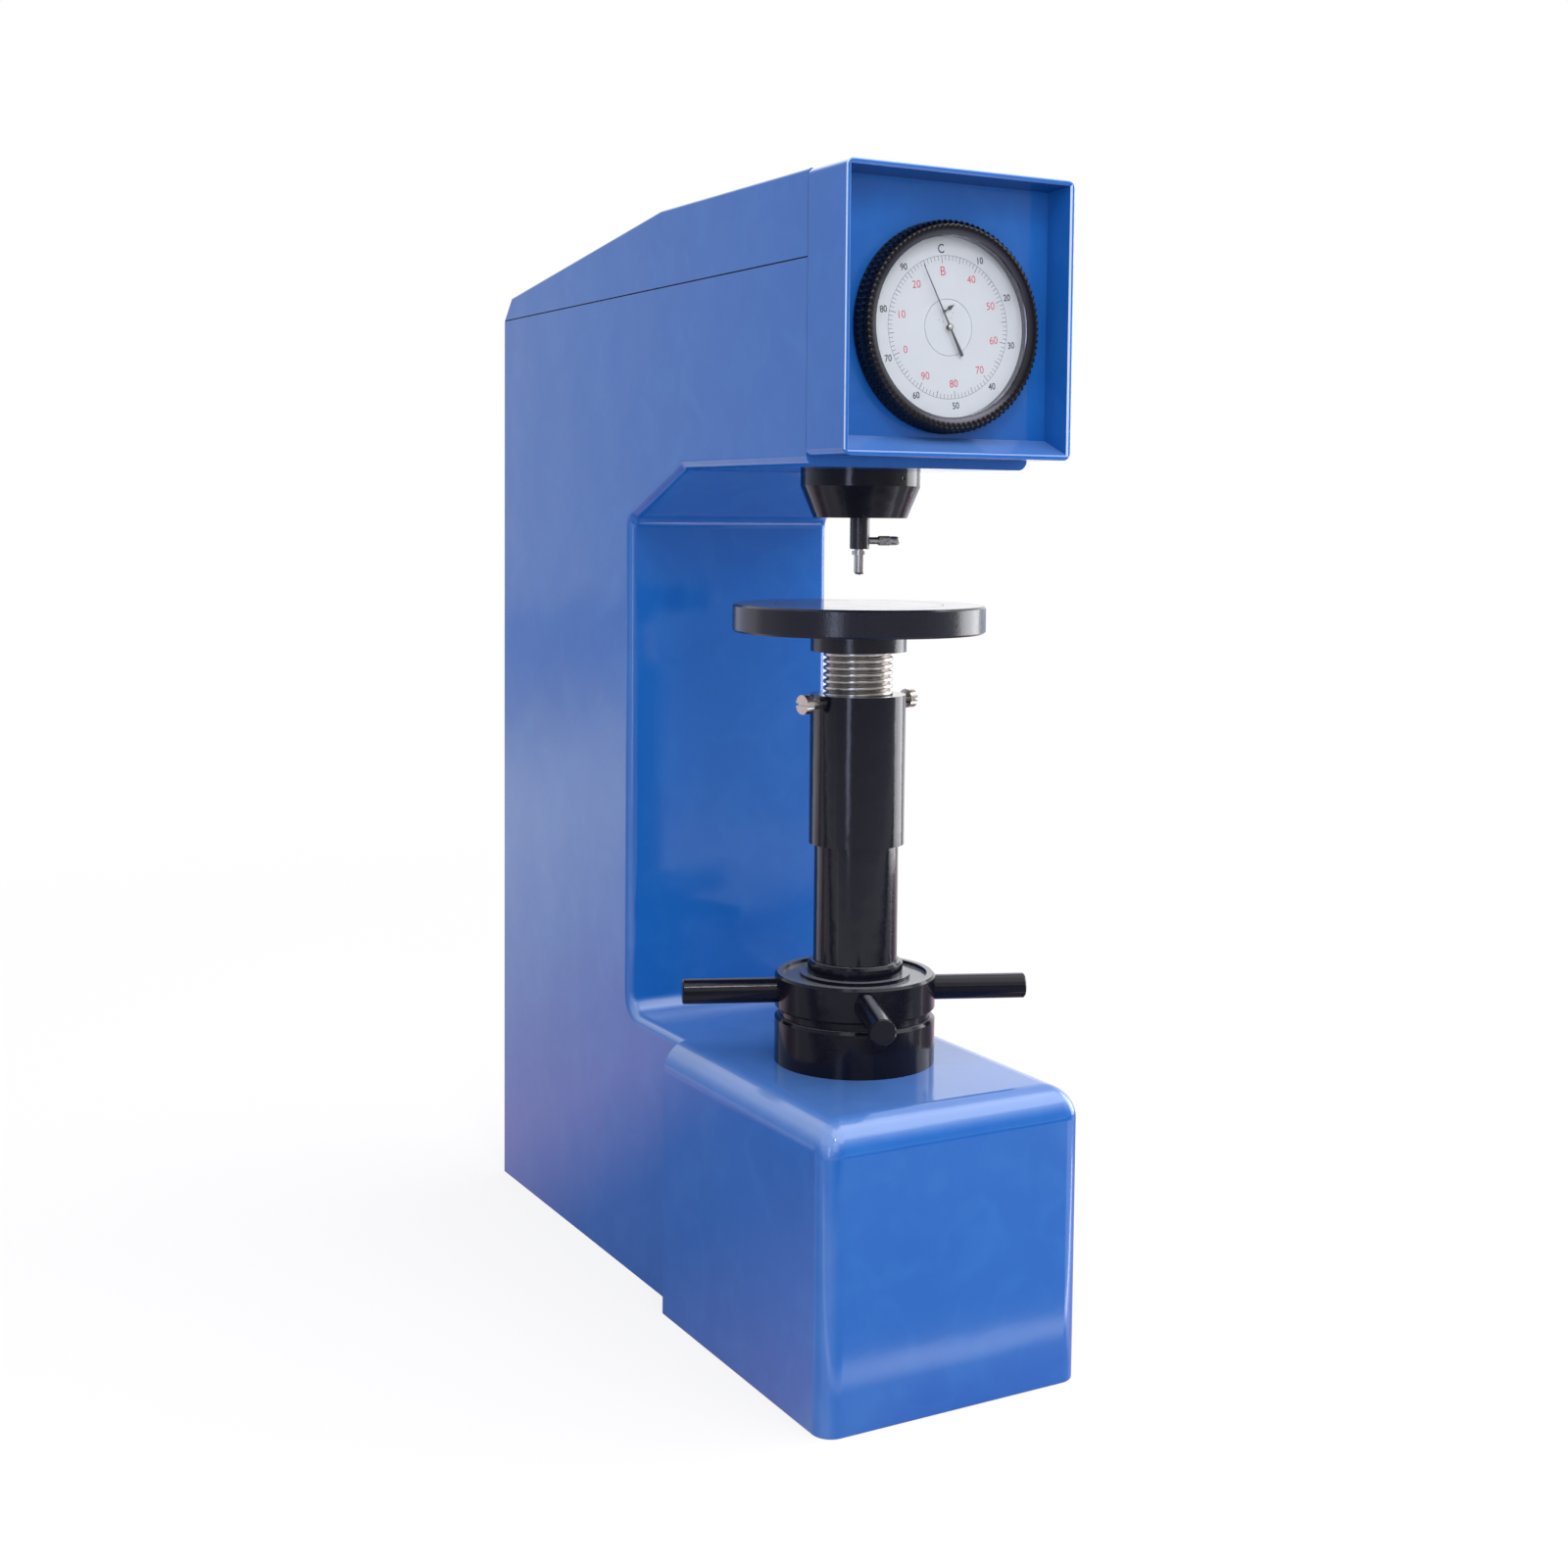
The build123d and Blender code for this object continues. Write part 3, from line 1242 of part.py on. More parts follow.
lever_head_rear = -fulcrum_reach + knife_half_width + lever_head_margin
lever_head_front = lever_head_rear - lever_head_length
lever_nose_bottom_z = lever_nose_top_z - lever_nose_thickness
lever_top_front_z = lever_bottom_z + lever_front_depth
lever_top_rear_z = lever_bottom_z + lever_rear_depth
lever_tail_front = hanger_reach - lever_tail_length / 2
lever_tail_rear = hanger_reach + lever_tail_length / 2
with BuildPart() as main_lever:
    # Side view: nose under the gauge plunger, deep head at the fulcrum, tapering beam, tail block.
    with BuildSketch(Plane.YZ):
        with BuildLine():
            Polyline(
                (-lever_nose_reach, lever_nose_bottom_z),
                (lever_head_rear, lever_nose_bottom_z),
                (lever_head_rear, lever_bottom_z),
                (lever_tail_front, lever_bottom_z),
                (lever_tail_front, lever_nose_bottom_z),
                (lever_tail_rear, lever_nose_bottom_z),
                (lever_tail_rear, lever_top_rear_z),
                (lever_head_rear, lever_top_front_z),
                (lever_head_front, lever_top_front_z),
                (lever_head_front, lever_nose_top_z),
                (-lever_nose_reach, lever_nose_top_z),
                close=True,
            )
        make_face()
        for knife_y in (-fulcrum_reach, hanger_reach):
            with BuildLine():
                knife_outline(knife_y, 0, knife_half_width, knife_bevel, knife_depth)
            make_face(mode=Mode.SUBTRACT)
        with BuildLine():
            Polyline(
                (load_knife_half_width, lever_bottom_z),
                (load_knife_half_width, knife_z + load_knife_height),
                (-load_knife_half_width, knife_z + load_knife_height),
                (-load_knife_half_width, lever_bottom_z),
                close=True,
            )
        make_face(mode=Mode.SUBTRACT)
    extrude(amount=lever_half_width, both=True)
main_lever.part.label = "main_lever"
export_step(main_lever.part, "parts/main_lever.step")

poise_middle_z = lever_bottom_z + lever_front_depth / 2
poise_half_height = lever_front_depth / 2 + poise_border
with BuildPart() as poise_weight:
    with BuildSketch(Plane.XZ.offset(-poise_position - poise_length / 2)):
        with Locations((0, poise_middle_z)):
            RectangleRounded(2 * poise_half_width, 2 * poise_half_height, poise_border / 2)
            Rectangle(
                2 * (lever_half_width + spigot_gap),
                lever_front_depth + 2 * spigot_gap,
                mode=Mode.SUBTRACT,
            )
    extrude(amount=poise_length)
poise_weight.part.label = "poise_weight"
export_step(poise_weight.part, "parts/poise_weight.step")


# ---- Hanger and weights ----------------------------------------------------------------------------------
plate_front = hanger_reach - hanger_plate_length / 2
plate_rear = hanger_reach + hanger_plate_length / 2
plate_bottom_z = knife_z - hanger_plate_drop
bridge_bottom_z = plate_bottom_z - hanger_bridge_height
hanger_half_width = hanger_plate_inner + hanger_plate_thickness
with BuildPart() as hanger:
    # Stirrup: two side plates with knife windows, joined below the lever by a bridge.
    for side in (-1, 1):
        with BuildSketch(Plane.YZ.offset(side * hanger_plate_inner)):
            with BuildLine():
                Polyline(
                    (plate_front, bridge_bottom_z),
                    (plate_rear, bridge_bottom_z),
                    (plate_rear, knife_z),
                    (hanger_reach + knife_half_width, knife_z + hanger_plate_rise),
                    (hanger_reach - knife_half_width, knife_z + hanger_plate_rise),
                    (plate_front, knife_z),
                    close=True,
                )
            make_face()
            with BuildLine():
                knife_outline(
                    hanger_reach, moving_gap, window_half_width, window_bevel, window_depth
                )
            make_face(mode=Mode.SUBTRACT)
        extrude(amount=side * hanger_plate_thickness)
    with BuildSketch(Plane.XY.offset(bridge_bottom_z)):
        with Locations((0, hanger_reach)):
            Rectangle(2 * hanger_half_width, hanger_plate_length)
    extrude(amount=hanger_bridge_height)
    # Rod with the flange that carries the weights.
    with BuildSketch(Plane.XY.offset(hanger_base_height)):
        with Locations((0, hanger_reach)):
            Circle(hanger_flange_radius)
    extrude(amount=hanger_flange_thickness)
    with BuildSketch(Plane.XY.offset(hanger_base_height)):
        with Locations((0, hanger_reach)):
            Circle(hanger_rod_radius)
    extrude(amount=bridge_bottom_z - hanger_base_height)
hanger.part.label = "hanger"
export_step(hanger.part, "parts/hanger.step")

weight_bottom_z = hanger_base_height + hanger_flange_thickness
for weight_name, weight_thickness in weight_thicknesses.items():
    weight_top_z = weight_bottom_z + weight_thickness
    weight = turned(
        (
            (hanger_rod_radius + tube_gap, weight_bottom_z),
            (weight_radius - weight_edge, weight_bottom_z),
            (weight_radius, weight_bottom_z + weight_edge),
            (weight_radius, weight_top_z - weight_edge),
            (weight_radius - weight_edge, weight_top_z),
            (hanger_rod_radius + tube_gap, weight_top_z),
        ),
        upright(0, hanger_reach),
    )
    weight.part.label = weight_name
    export_step(weight.part, f"parts/{weight_name}.step")
    weight_bottom_z = weight_top_z


# ---- Dashpot and lift rod ----------------------------------------------------------------------------------
dashpot_top_z = dashpot_base_height + dashpot_length
dashpot_bore = dashpot_radius - dashpot_wall
with BuildPart() as dashpot_cylinder:
    with BuildSketch(Plane.XY.offset(dashpot_base_height)):
        with Locations((0, load_shaft_y)):
            Circle(dashpot_radius)
    extrude(amount=dashpot_length)
    with BuildSketch(Plane.XY.offset(dashpot_base_height + dashpot_end)):
        with Locations((0, load_shaft_y)):
            Circle(dashpot_bore)
    extrude(amount=dashpot_length - dashpot_end, mode=Mode.SUBTRACT)
    with BuildSketch(Plane.XY.offset(dashpot_base_height)):
        with Locations((0, load_shaft_y)):
            Circle(lift_rod_radius + running_gap)
    extrude(amount=dashpot_end, mode=Mode.SUBTRACT)
dashpot_cylinder.part.label = "dashpot_cylinder"
export_step(dashpot_cylinder.part, "parts/dashpot_cylinder.step")

dashpot_cap = turned(
    (
        (lift_rod_radius + running_gap, dashpot_top_z - dashpot_wall),
        (dashpot_bore - spigot_gap, dashpot_top_z - dashpot_wall),
        (dashpot_bore - spigot_gap, dashpot_top_z),
        (dashpot_radius, dashpot_top_z),
        (dashpot_radius, dashpot_top_z + dashpot_end),
        (lift_rod_radius + running_gap, dashpot_top_z + dashpot_end),
    ),
    upright(0, load_shaft_y),
)
dashpot_cap.part.label = "dashpot_cap"
export_step(dashpot_cap.part, "parts/dashpot_cap.step")

with BuildPart() as dashpot_bracket:
    with BuildSketch(Plane.XY.offset(dashpot_base_height + bracket_height)):
        with Locations((0, load_shaft_y)):
            Circle(dashpot_radius + bracket_border)
        with Locations((0, (cavity_front + load_shaft_y) / 2)):
            Rectangle(2 * bracket_half_width, load_shaft_y - cavity_front)
        with Locations((0, load_shaft_y)):
            Circle(dashpot_radius + running_gap, mode=Mode.SUBTRACT)
    extrude(amount=bracket_height)
dashpot_bracket.part.label = "dashpot_bracket"
export_step(dashpot_bracket.part, "parts/dashpot_bracket.step")

lift_foot_top_z = lift_foot_z + lift_foot_thickness
lift_pad_z = lift_rod_top_z - lift_pad_height
piston_z = (dashpot_base_height + dashpot_top_z) / 2
lift_rod = turned(
    (
        (0, lift_foot_z),
        (lift_foot_radius, lift_foot_z),
        (lift_foot_radius, lift_foot_top_z),
        (lift_rod_radius, lift_foot_top_z),
        (lift_rod_radius, lift_pad_z),
        (lift_pad_radius, lift_pad_z),
        (lift_pad_radius, lift_rod_top_z),
        (0, lift_rod_top_z),
    ),
    upright(0, load_shaft_y),
)
lift_rod.part.label = "lift_rod"
export_step(lift_rod.part, "parts/lift_rod.step")

dashpot_piston = turned(
    ring(
        dashpot_bore - moving_gap,
        lift_rod_radius + spigot_gap / 2,
        piston_z,
        piston_z + dashpot_piston_thickness,
    ),
    upright(0, load_shaft_y),
)
dashpot_piston.part.label = "dashpot_piston"
export_step(dashpot_piston.part, "parts/dashpot_piston.step")


# ---- Load lever --------------------------------------------------------------------------------------------
def wall_bush(y, z, radius, flange_radius, bore):
    """Flanged bush for a cross shaft, pressed into the right wall from outside."""
    inner_end = column_half_width - shaft_boss_depth
    return turned(
        (
            (bore, inner_end),
            (radius, inner_end),
            (radius, column_half_width),
            (flange_radius, column_half_width),
            (flange_radius, column_half_width + shaft_flange_thickness),
            (bore, column_half_width + shaft_flange_thickness),
        ),
        crosswise(y, z),
    )


load_shaft_bush = wall_bush(
    load_shaft_y,
    load_shaft_height,
    load_bush_radius,
    load_bush_flange_radius,
    load_shaft_radius + running_gap,
)
load_shaft_bush.part.label = "load_shaft_bush"
export_step(load_shaft_bush.part, "parts/load_shaft_bush.step")

with BuildPart() as load_shaft:
    with BuildSketch(Plane.YZ.offset(-cam_half_thickness - moving_gap)):
        with Locations((load_shaft_y, load_shaft_height)):
            Circle(load_shaft_radius)
    extrude(amount=outer_face_x + load_lever_hub_width + cam_half_thickness + moving_gap)
load_shaft.part.label = "load_shaft"
export_step(load_shaft.part, "parts/load_shaft.step")

with BuildPart() as load_cam:
    with BuildSketch(Plane.YZ.offset(-cam_half_thickness)):
        with Locations((cam_centre_y, cam_centre_z)):
            Circle(cam_radius)
        with Locations((load_shaft_y, load_shaft_height)):
            Circle(load_shaft_radius + cam_border)
            Circle(load_shaft_radius + spigot_gap, mode=Mode.SUBTRACT)
    extrude(amount=2 * cam_half_thickness)
load_cam.part.label = "load_cam"
export_step(load_cam.part, "parts/load_cam.step")

lever_hub_middle_x = outer_face_x + load_lever_hub_width / 2
splay = math.radians(load_lever_splay)
lever_direction = Vector(math.sin(splay), -math.cos(splay), 0)
lever_plane = Plane(
    origin=(lever_hub_middle_x, load_shaft_y, load_shaft_height),
    x_dir=(math.cos(splay), math.sin(splay), 0),
    z_dir=lever_direction,
)
knob_back = load_lever_length - load_knob_face
with BuildPart() as load_lever:
    with BuildSketch(Plane.YZ.offset(outer_face_x)):
        with Locations((load_shaft_y, load_shaft_height)):
            Circle(load_lever_hub_radius)
    extrude(amount=load_lever_hub_width)
    chamfer(load_lever.edges().group_by(Axis.X)[-1], wheel_edge)
    with BuildSketch(lever_plane):
        Circle(load_lever_radius)
    extrude(amount=knob_back)
    with BuildSketch(lever_plane.offset(knob_back)):
        Circle(load_knob_shank_radius)
    extrude(amount=load_knob_shank_depth)
    with BuildSketch(Plane.YZ.offset(outer_face_x)):
        with Locations((load_shaft_y, load_shaft_height)):
            Circle(load_shaft_radius + spigot_gap)
    extrude(amount=load_lever_hub_width, mode=Mode.SUBTRACT)
load_lever.part.label = "load_lever"
export_step(load_lever.part, "parts/load_lever.step")

with BuildPart() as load_knob:
    with Locations(lever_plane.offset(load_lever_length)):
        Sphere(load_knob_radius)
    split(bisect_by=lever_plane.offset(knob_back), keep=Keep.TOP)
    with BuildSketch(lever_plane.offset(knob_back)):
        Circle(load_knob_shank_radius + spigot_gap)
    extrude(amount=load_knob_shank_depth + spigot_gap, mode=Mode.SUBTRACT)
load_knob.part.label = "load_knob"
export_step(load_knob.part, "parts/load_knob.step")


# ---- Force selector ------------------------------------------------------------------------------------------
selector_bush = wall_bush(
    hanger_reach,
    selector_height,
    selector_bush_radius,
    selector_flange_radius,
    selector_shaft_radius + running_gap,
)
selector_bush.part.label = "selector_bush"
export_step(selector_bush.part, "parts/selector_bush.step")

knob_top_x = outer_face_x + selector_knob_height
with BuildPart() as selector_shaft:
    with BuildSketch(Plane.YZ.offset(selector_shaft_inner)):
        with Locations((hanger_reach, selector_height)):
            Circle(selector_shaft_radius)
    extrude(amount=knob_top_x - selector_knob_skirt - selector_shaft_inner)
selector_shaft.part.label = "selector_shaft"
export_step(selector_shaft.part, "parts/selector_shaft.step")

with BuildPart() as selector_cam:
    with BuildSketch(Plane.YZ.offset(selector_cam_inner)):
        with Locations((hanger_reach, selector_height + selector_cam_offset)):
            Circle(selector_cam_radius - selector_cam_offset)
        with Locations((hanger_reach, selector_height)):
            Circle(selector_shaft_radius + cam_border)
            Circle(selector_shaft_radius + spigot_gap, mode=Mode.SUBTRACT)
    extrude(amount=selector_cam_thickness)
selector_cam.part.label = "selector_cam"
export_step(selector_cam.part, "parts/selector_cam.step")

with BuildPart() as selector_knob:
    with BuildSketch(Plane.YZ.offset(outer_face_x)):
        with Locations((hanger_reach, selector_height)):
            Circle(selector_knob_radius)
    extrude(amount=selector_knob_height)
    # Finger flutes above a plain skirt.
    with BuildSketch(Plane.YZ.offset(outer_face_x + selector_knob_skirt)):
        with Locations((hanger_reach, selector_height)):
            with PolarLocations(selector_knob_radius + selector_flute_radius / 2, selector_flute_count):
                Circle(selector_flute_radius)
    extrude(amount=selector_knob_height - selector_knob_skirt, mode=Mode.SUBTRACT)
    chamfer(selector_knob.faces().sort_by(Axis.X)[-1].edges(), wheel_edge / 2)
    with BuildSketch(Plane.YZ.offset(outer_face_x)):
        with Locations((hanger_reach, selector_height)):
            Circle(selector_shaft_radius + spigot_gap)
    extrude(amount=selector_knob_height - selector_knob_skirt, mode=Mode.SUBTRACT)
selector_knob.part.label = "selector_knob"
export_step(selector_knob.part, "parts/selector_knob.step")
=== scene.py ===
import math

import bpy
import numpy as np
from mathutils import Matrix, Vector


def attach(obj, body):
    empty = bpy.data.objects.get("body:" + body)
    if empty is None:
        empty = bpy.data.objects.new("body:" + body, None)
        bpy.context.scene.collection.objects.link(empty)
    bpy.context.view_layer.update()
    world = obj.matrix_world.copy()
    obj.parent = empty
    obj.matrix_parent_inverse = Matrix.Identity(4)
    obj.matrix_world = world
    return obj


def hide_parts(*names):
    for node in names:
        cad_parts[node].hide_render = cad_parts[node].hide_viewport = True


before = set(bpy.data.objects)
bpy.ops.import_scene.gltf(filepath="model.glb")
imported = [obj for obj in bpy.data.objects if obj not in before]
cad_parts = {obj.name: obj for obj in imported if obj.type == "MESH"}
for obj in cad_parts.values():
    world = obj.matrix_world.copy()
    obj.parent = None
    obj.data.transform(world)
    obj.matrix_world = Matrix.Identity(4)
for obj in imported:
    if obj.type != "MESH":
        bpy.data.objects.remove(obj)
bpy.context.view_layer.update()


# ==== Frame casting ===============================================================================
# The C-shaped body is one hollow grey-iron casting. Its outside is filled, sanded and sprayed with
# gloss machine enamel, which leaves a fine orange peel and long soft waves in what it mirrors.
# Of these tones, the lighter cloud is a painted reflection, the shade tone is painted shade, the pale edge
# tone is a painted highlight, and the pale top tone is dirt with a painted sheen.
BLUE, BLUE_THIN, BLUE_REFLECTION_CLOUD = "#1859A7", "#1C60B0", "#2D70B8"
BLUE_IN_SHADE, BLUE_PAINTED_EDGE_HIGHLIGHT, DUST_AND_SHEEN_TONE = "#062458", "#C4D3EE", "#D5D8E6"
COAT_DRIFT = 0.09  # metres, as every size of a pattern in this file
REFLECTION_CLOUD_SIZE = 0.03
FILLER_WAVE = 0.055
ORANGE_PEEL = 0.0026
ENAMEL_IOR = 1.5


def linear(code):
    """sRGB hex to linear RGBA: under 0.04045 divided by 12.92, above it the 2.4 power curve."""
    srgb = np.array([int(code[i : i + 2], 16) for i in (1, 3, 5)]) / 255
    curve = np.where(srgb <= 0.04045, srgb / 12.92, ((srgb + 0.055) / 1.055) ** 2.4)
    return (*curve.tolist(), 1.0)


def add(tree, kind, sockets=(), **settings):
    """One shader node with its settings. Each socket takes a plain value or another node's output."""
    node = tree.nodes.new(kind)
    for name, value in settings.items():
        setattr(node, name, value)
    for name, value in dict(sockets).items():
        if isinstance(value, bpy.types.NodeSocket):
            tree.links.new(value, node.inputs[name])
        else:
            node.inputs[name].default_value = value
    return node


def finish_named(name):
    """An empty material, its node tree and the object's own coordinates in metres."""
    material = bpy.data.materials.new(name)
    material.use_nodes = True
    tree = material.node_tree
    tree.nodes.clear()
    return material, tree, add(tree, "ShaderNodeTexCoord").outputs["Object"]


def show(tree, shader):
    """Joins a finished shader to the material's output."""
    output = add(tree, "ShaderNodeOutputMaterial")
    tree.links.new(shader.outputs[0], output.inputs["Surface"])


def dress(material, *names):
    """Gives one material to each of the named CAD nodes."""
    for name in names:
        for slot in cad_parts[name].material_slots:
            slot.material = material


def enamel(name, edge_highlight, dust_and_sheen, roof):
    """Sprayed two-pack enamel. The colour wanders a little where the coat is thin, and its lighter clouds are
    a painted reflection. A rounded edge turns pale, a painted highlight, most on the left and along the top,
    and a recess's roof darkens with painted shade. A pale film on what faces up is partly dirt and partly a
    painted sheen. An edge is where the normal's largest part is under 0.97, and what faces left or up is read
    from the normal too."""
    material, tree, place = finish_named(name)
    coat = add(tree, "ShaderNodeTexNoise", {"Vector": place, "Scale": 1 / COAT_DRIFT, "Detail": 3.0})
    tone = add(tree, "ShaderNodeMix", {
        "Factor": coat.outputs["Fac"], "A": linear(BLUE), "B": linear(BLUE_THIN)}, data_type="RGBA")
    # The lighter clouds mixed in next are a painted reflection of soft light in the gloss.
    cloud = add(tree, "ShaderNodeTexNoise", {
        "Vector": place, "Scale": 1 / REFLECTION_CLOUD_SIZE, "Detail": 4.0, "Distortion": 1.2})
    patch = add(tree, "ShaderNodeMapRange", {
        "Value": cloud.outputs["Fac"], "From Min": 0.46, "From Max": 0.68, "To Min": 0.0, "To Max": 0.22})
    mottled = add(tree, "ShaderNodeMix", {
        "Factor": patch.outputs[0], "A": tone.outputs["Result"], "B": linear(BLUE_REFLECTION_CLOUD)}, data_type="RGBA")
    normal = add(tree, "ShaderNodeTexCoord").outputs["Normal"]
    up = add(tree, "ShaderNodeSeparateXYZ", {"Vector": normal})
    square = add(tree, "ShaderNodeVectorMath", {0: normal}, operation="ABSOLUTE")
    sides = add(tree, "ShaderNodeSeparateXYZ", {"Vector": square.outputs[0]})
    widest = add(tree, "ShaderNodeMath", {
        0: sides.outputs["X"], 1: sides.outputs["Y"]}, operation="MAXIMUM")
    flatness = add(tree, "ShaderNodeMath", {
        0: widest.outputs[0], 1: sides.outputs["Z"]}, operation="MAXIMUM")
    rounded = add(tree, "ShaderNodeMapRange", {
        "Value": flatness.outputs[0], "From Min": 0.97, "From Max": 0.8, "To Min": 0.0, "To Max": edge_highlight})
    not_under = add(tree, "ShaderNodeMath", {0: up.outputs["Z"], 1: -0.25}, operation="GREATER_THAN")
    outer_edge = add(tree, "ShaderNodeMath", {
        0: rounded.outputs[0], 1: not_under.outputs[0]}, operation="MULTIPLY")
    leftward = add(tree, "ShaderNodeMapRange", {
        "Value": up.outputs["X"], "From Min": 0.1, "From Max": -0.6, "To Min": 0.0, "To Max": roof})
    upward = add(tree, "ShaderNodeMapRange", {
        "Value": up.outputs["Z"], "From Min": 0.1, "From Max": 0.5,
        "To Min": 0.28, "To Max": 1.0 - roof * 0.6})
    favour = add(tree, "ShaderNodeMath", {
        0: leftward.outputs[0], 1: upward.outputs[0]}, operation="MAXIMUM")
    arris = add(tree, "ShaderNodeMath", {
        0: outer_edge.outputs[0], 1: favour.outputs[0]}, operation="MULTIPLY")
    # The roof of a recess is darkened towards the shade tone: painted shade.
    ceiling = add(tree, "ShaderNodeMapRange", {
        "Value": up.outputs["Z"], "From Min": -0.8, "From Max": -0.98, "To Min": 0.0, "To Max": 0.7 * roof})
    shaded = add(tree, "ShaderNodeMix", {
        "Factor": ceiling.outputs[0], "A": mottled.outputs["Result"], "B": linear(BLUE_IN_SHADE)},
        data_type="RGBA")
    # Rounded edges turn pale here: a painted highlight, strongest on the left and on top.
    with_edge_highlight = add(tree, "ShaderNodeMix", {
        "Factor": arris.outputs[0], "A": shaded.outputs["Result"], "B": linear(BLUE_PAINTED_EDGE_HIGHLIGHT)},
        data_type="RGBA")
    # What faces up turns paler: partly dirt, partly a painted sheen of light from above.
    lying = add(tree, "ShaderNodeMapRange", {
        "Value": up.outputs["Z"], "From Min": 0.7, "From Max": 1.0, "To Min": 0.0, "To Max": dust_and_sheen})
    with_dust_and_sheen = add(tree, "ShaderNodeMix", {
        "Factor": lying.outputs[0], "A": with_edge_highlight.outputs["Result"], "B": linear(DUST_AND_SHEEN_TONE)},
        data_type="RGBA")
    wave = add(tree, "ShaderNodeTexNoise", {"Vector": place, "Scale": 1 / FILLER_WAVE, "Detail": 1.0})
    waves = add(tree, "ShaderNodeBump", {"Height": wave.outputs["Fac"], "Strength": 0.4, "Distance": 0.0014})
    peel = add(tree, "ShaderNodeTexNoise", {"Vector": place, "Scale": 1 / ORANGE_PEEL, "Detail": 1.0})
    skin = add(tree, "ShaderNodeBump", {
        "Height": peel.outputs["Fac"], "Strength": 0.3, "Distance": 0.00008,
        "Normal": waves.outputs["Normal"]})
    haze = add(tree, "ShaderNodeMapRange", {"Value": coat.outputs["Fac"], "To Min": 0.07, "To Max": 0.16})
    show(tree, add(tree, "ShaderNodeBsdfPrincipled", {
        "Base Color": with_dust_and_sheen.outputs["Result"], "Roughness": haze.outputs["Result"], "IOR": ENAMEL_IOR,
        "Normal": skin.outputs["Normal"]}))
    return material


# Its rounded edges carry a painted pale highlight, and what faces up is paler, partly dirt and partly a
# painted sheen.
blue_enamel = enamel(
    "gloss_blue_machine_enamel_sprayed_on_cast_iron", edge_highlight=0.24, dust_and_sheen=0.075, roof=0.0)
dress(blue_enamel, "frame_casting")


# ==== Rear cover and its screws ===================================================================
# A pressed steel plate closes the window at the back, in the casting's own enamel, and six zinc
# plated pan-head screws hold it in its sunk ledge.
dress(blue_enamel, "rear_cover")

# Bright zinc and nickel plating over turned steel: a light warm metal with faint turning rings.
plated_steel, tree, place = finish_named("bright_nickel_plated_turned_steel")
grain = add(tree, "ShaderNodeTexNoise", {"Vector": place, "Scale": 1 / 0.0012, "Detail": 3.0})
shade = add(tree, "ShaderNodeMix", {
    "Factor": grain.outputs["Fac"], "A": linear("#B9B2A8"), "B": linear("#DAD6CE")}, data_type="RGBA")
gloss = add(tree, "ShaderNodeMapRange", {"Value": grain.outputs["Fac"], "To Min": 0.14, "To Max": 0.3})
scuff = add(tree, "ShaderNodeBump", {"Height": grain.outputs["Fac"], "Strength": 0.2, "Distance": 0.00003})
show(tree, add(tree, "ShaderNodeBsdfPrincipled", {
    "Base Color": shade.outputs["Result"], "Metallic": 1.0, "Roughness": gloss.outputs["Result"],
    "Normal": scuff.outputs["Normal"]}))
dress(plated_steel, "rear_cover_screws")


# ==== Top cover ===================================================================================
# A folded 3 mm sheet lid, sprayed with the casting. It drops over the mechanism and rests on the
# casting's rim, so a fine dark line runs round the head and column at the seam.
dress(blue_enamel, "top_cover")


# ==== Dial hood ===================================================================================
# A square cast hood screwed to the front of the head. Its recess carries the dial panel and keeps glare off
# the glass, in the same enamel with a painted highlight round its rim and painted shade on its recess's roof.
hood_enamel = enamel("gloss_blue_enamel_with_painted_rim_highlight_and_roof_shade", edge_highlight=0.85, dust_and_sheen=0.0, roof=1.0)
dress(hood_enamel, "dial_hood")


# ==== Dial gauge ==================================================================================
# A large dial indicator clamped in the hood's panel. The bezel is black moulded phenolic with a
# coin-edge knurl, and turns the printed ring and the glass with it to set zero.
DIAL_Z = 600.2
DIAL_FACE = -90.5
RING_TURN = -7.5
RIB_COUNT = 100
RIB_DEPTH = 1.1
POINTS_PER_RIB = 8
PHENOLIC_MOTTLE = 0.0015


def put_together(name, points, faces, material):
    """A piece of one material from its points in metres and its faces, standing at the origin."""
    mesh = bpy.data.meshes.new(name)
    mesh.from_pydata(points, [], faces)
    mesh.materials.append(material)
    piece = bpy.data.objects.new(name, mesh)
    bpy.context.scene.collection.objects.link(piece)
    return piece


def surface(name, grid, material, closed=False, sharp=35.0):
    """Mesh over a rows by columns grid of points in millimetres, with its columns closed round.
    The rows close round too when closed is set, or else each end row gets one cap. The faces are
    turned outwards by the sign of the volume, the sum of every corner triple product over six."""
    rows, columns = grid.shape[:2]
    points = grid.reshape(-1, 3) * 0.001
    index = np.arange(rows * columns).reshape(rows, columns)
    low = index if closed else index[:-1]
    high = np.roll(index, -1, 0) if closed else index[1:]
    quads = np.stack([low, np.roll(low, -1, 1), np.roll(high, -1, 1), high], -1).reshape(-1, 4)
    caps = [] if closed else [index[0, ::-1], index[-1]]
    a, b, c, d = (points[quads[:, i]] for i in range(4))
    volume = np.sum(a * np.cross(b, c)) + np.sum(a * np.cross(c, d))
    for cap in caps:
        fan = points[cap]
        volume += np.sum(fan[0] * np.cross(fan[1:-1], fan[2:]))
    turn = 1 if volume > 0 else -1
    faces = [face[::turn].tolist() for face in (*quads, *caps)]
    piece = put_together(name, points.tolist(), faces, material)
    piece.data.shade_smooth()
    piece.data.set_sharp_from_angle(angle=math.radians(sharp))
    return piece


def round_dial(radius, depth, angle):
    """Points round the dial's axis: r sin a across, r cos a up, with a clockwise from the top."""
    radius, depth, angle = np.broadcast_arrays(radius, depth, angle)
    return np.stack([radius * np.sin(angle), depth, DIAL_Z + radius * np.cos(angle)], -1)


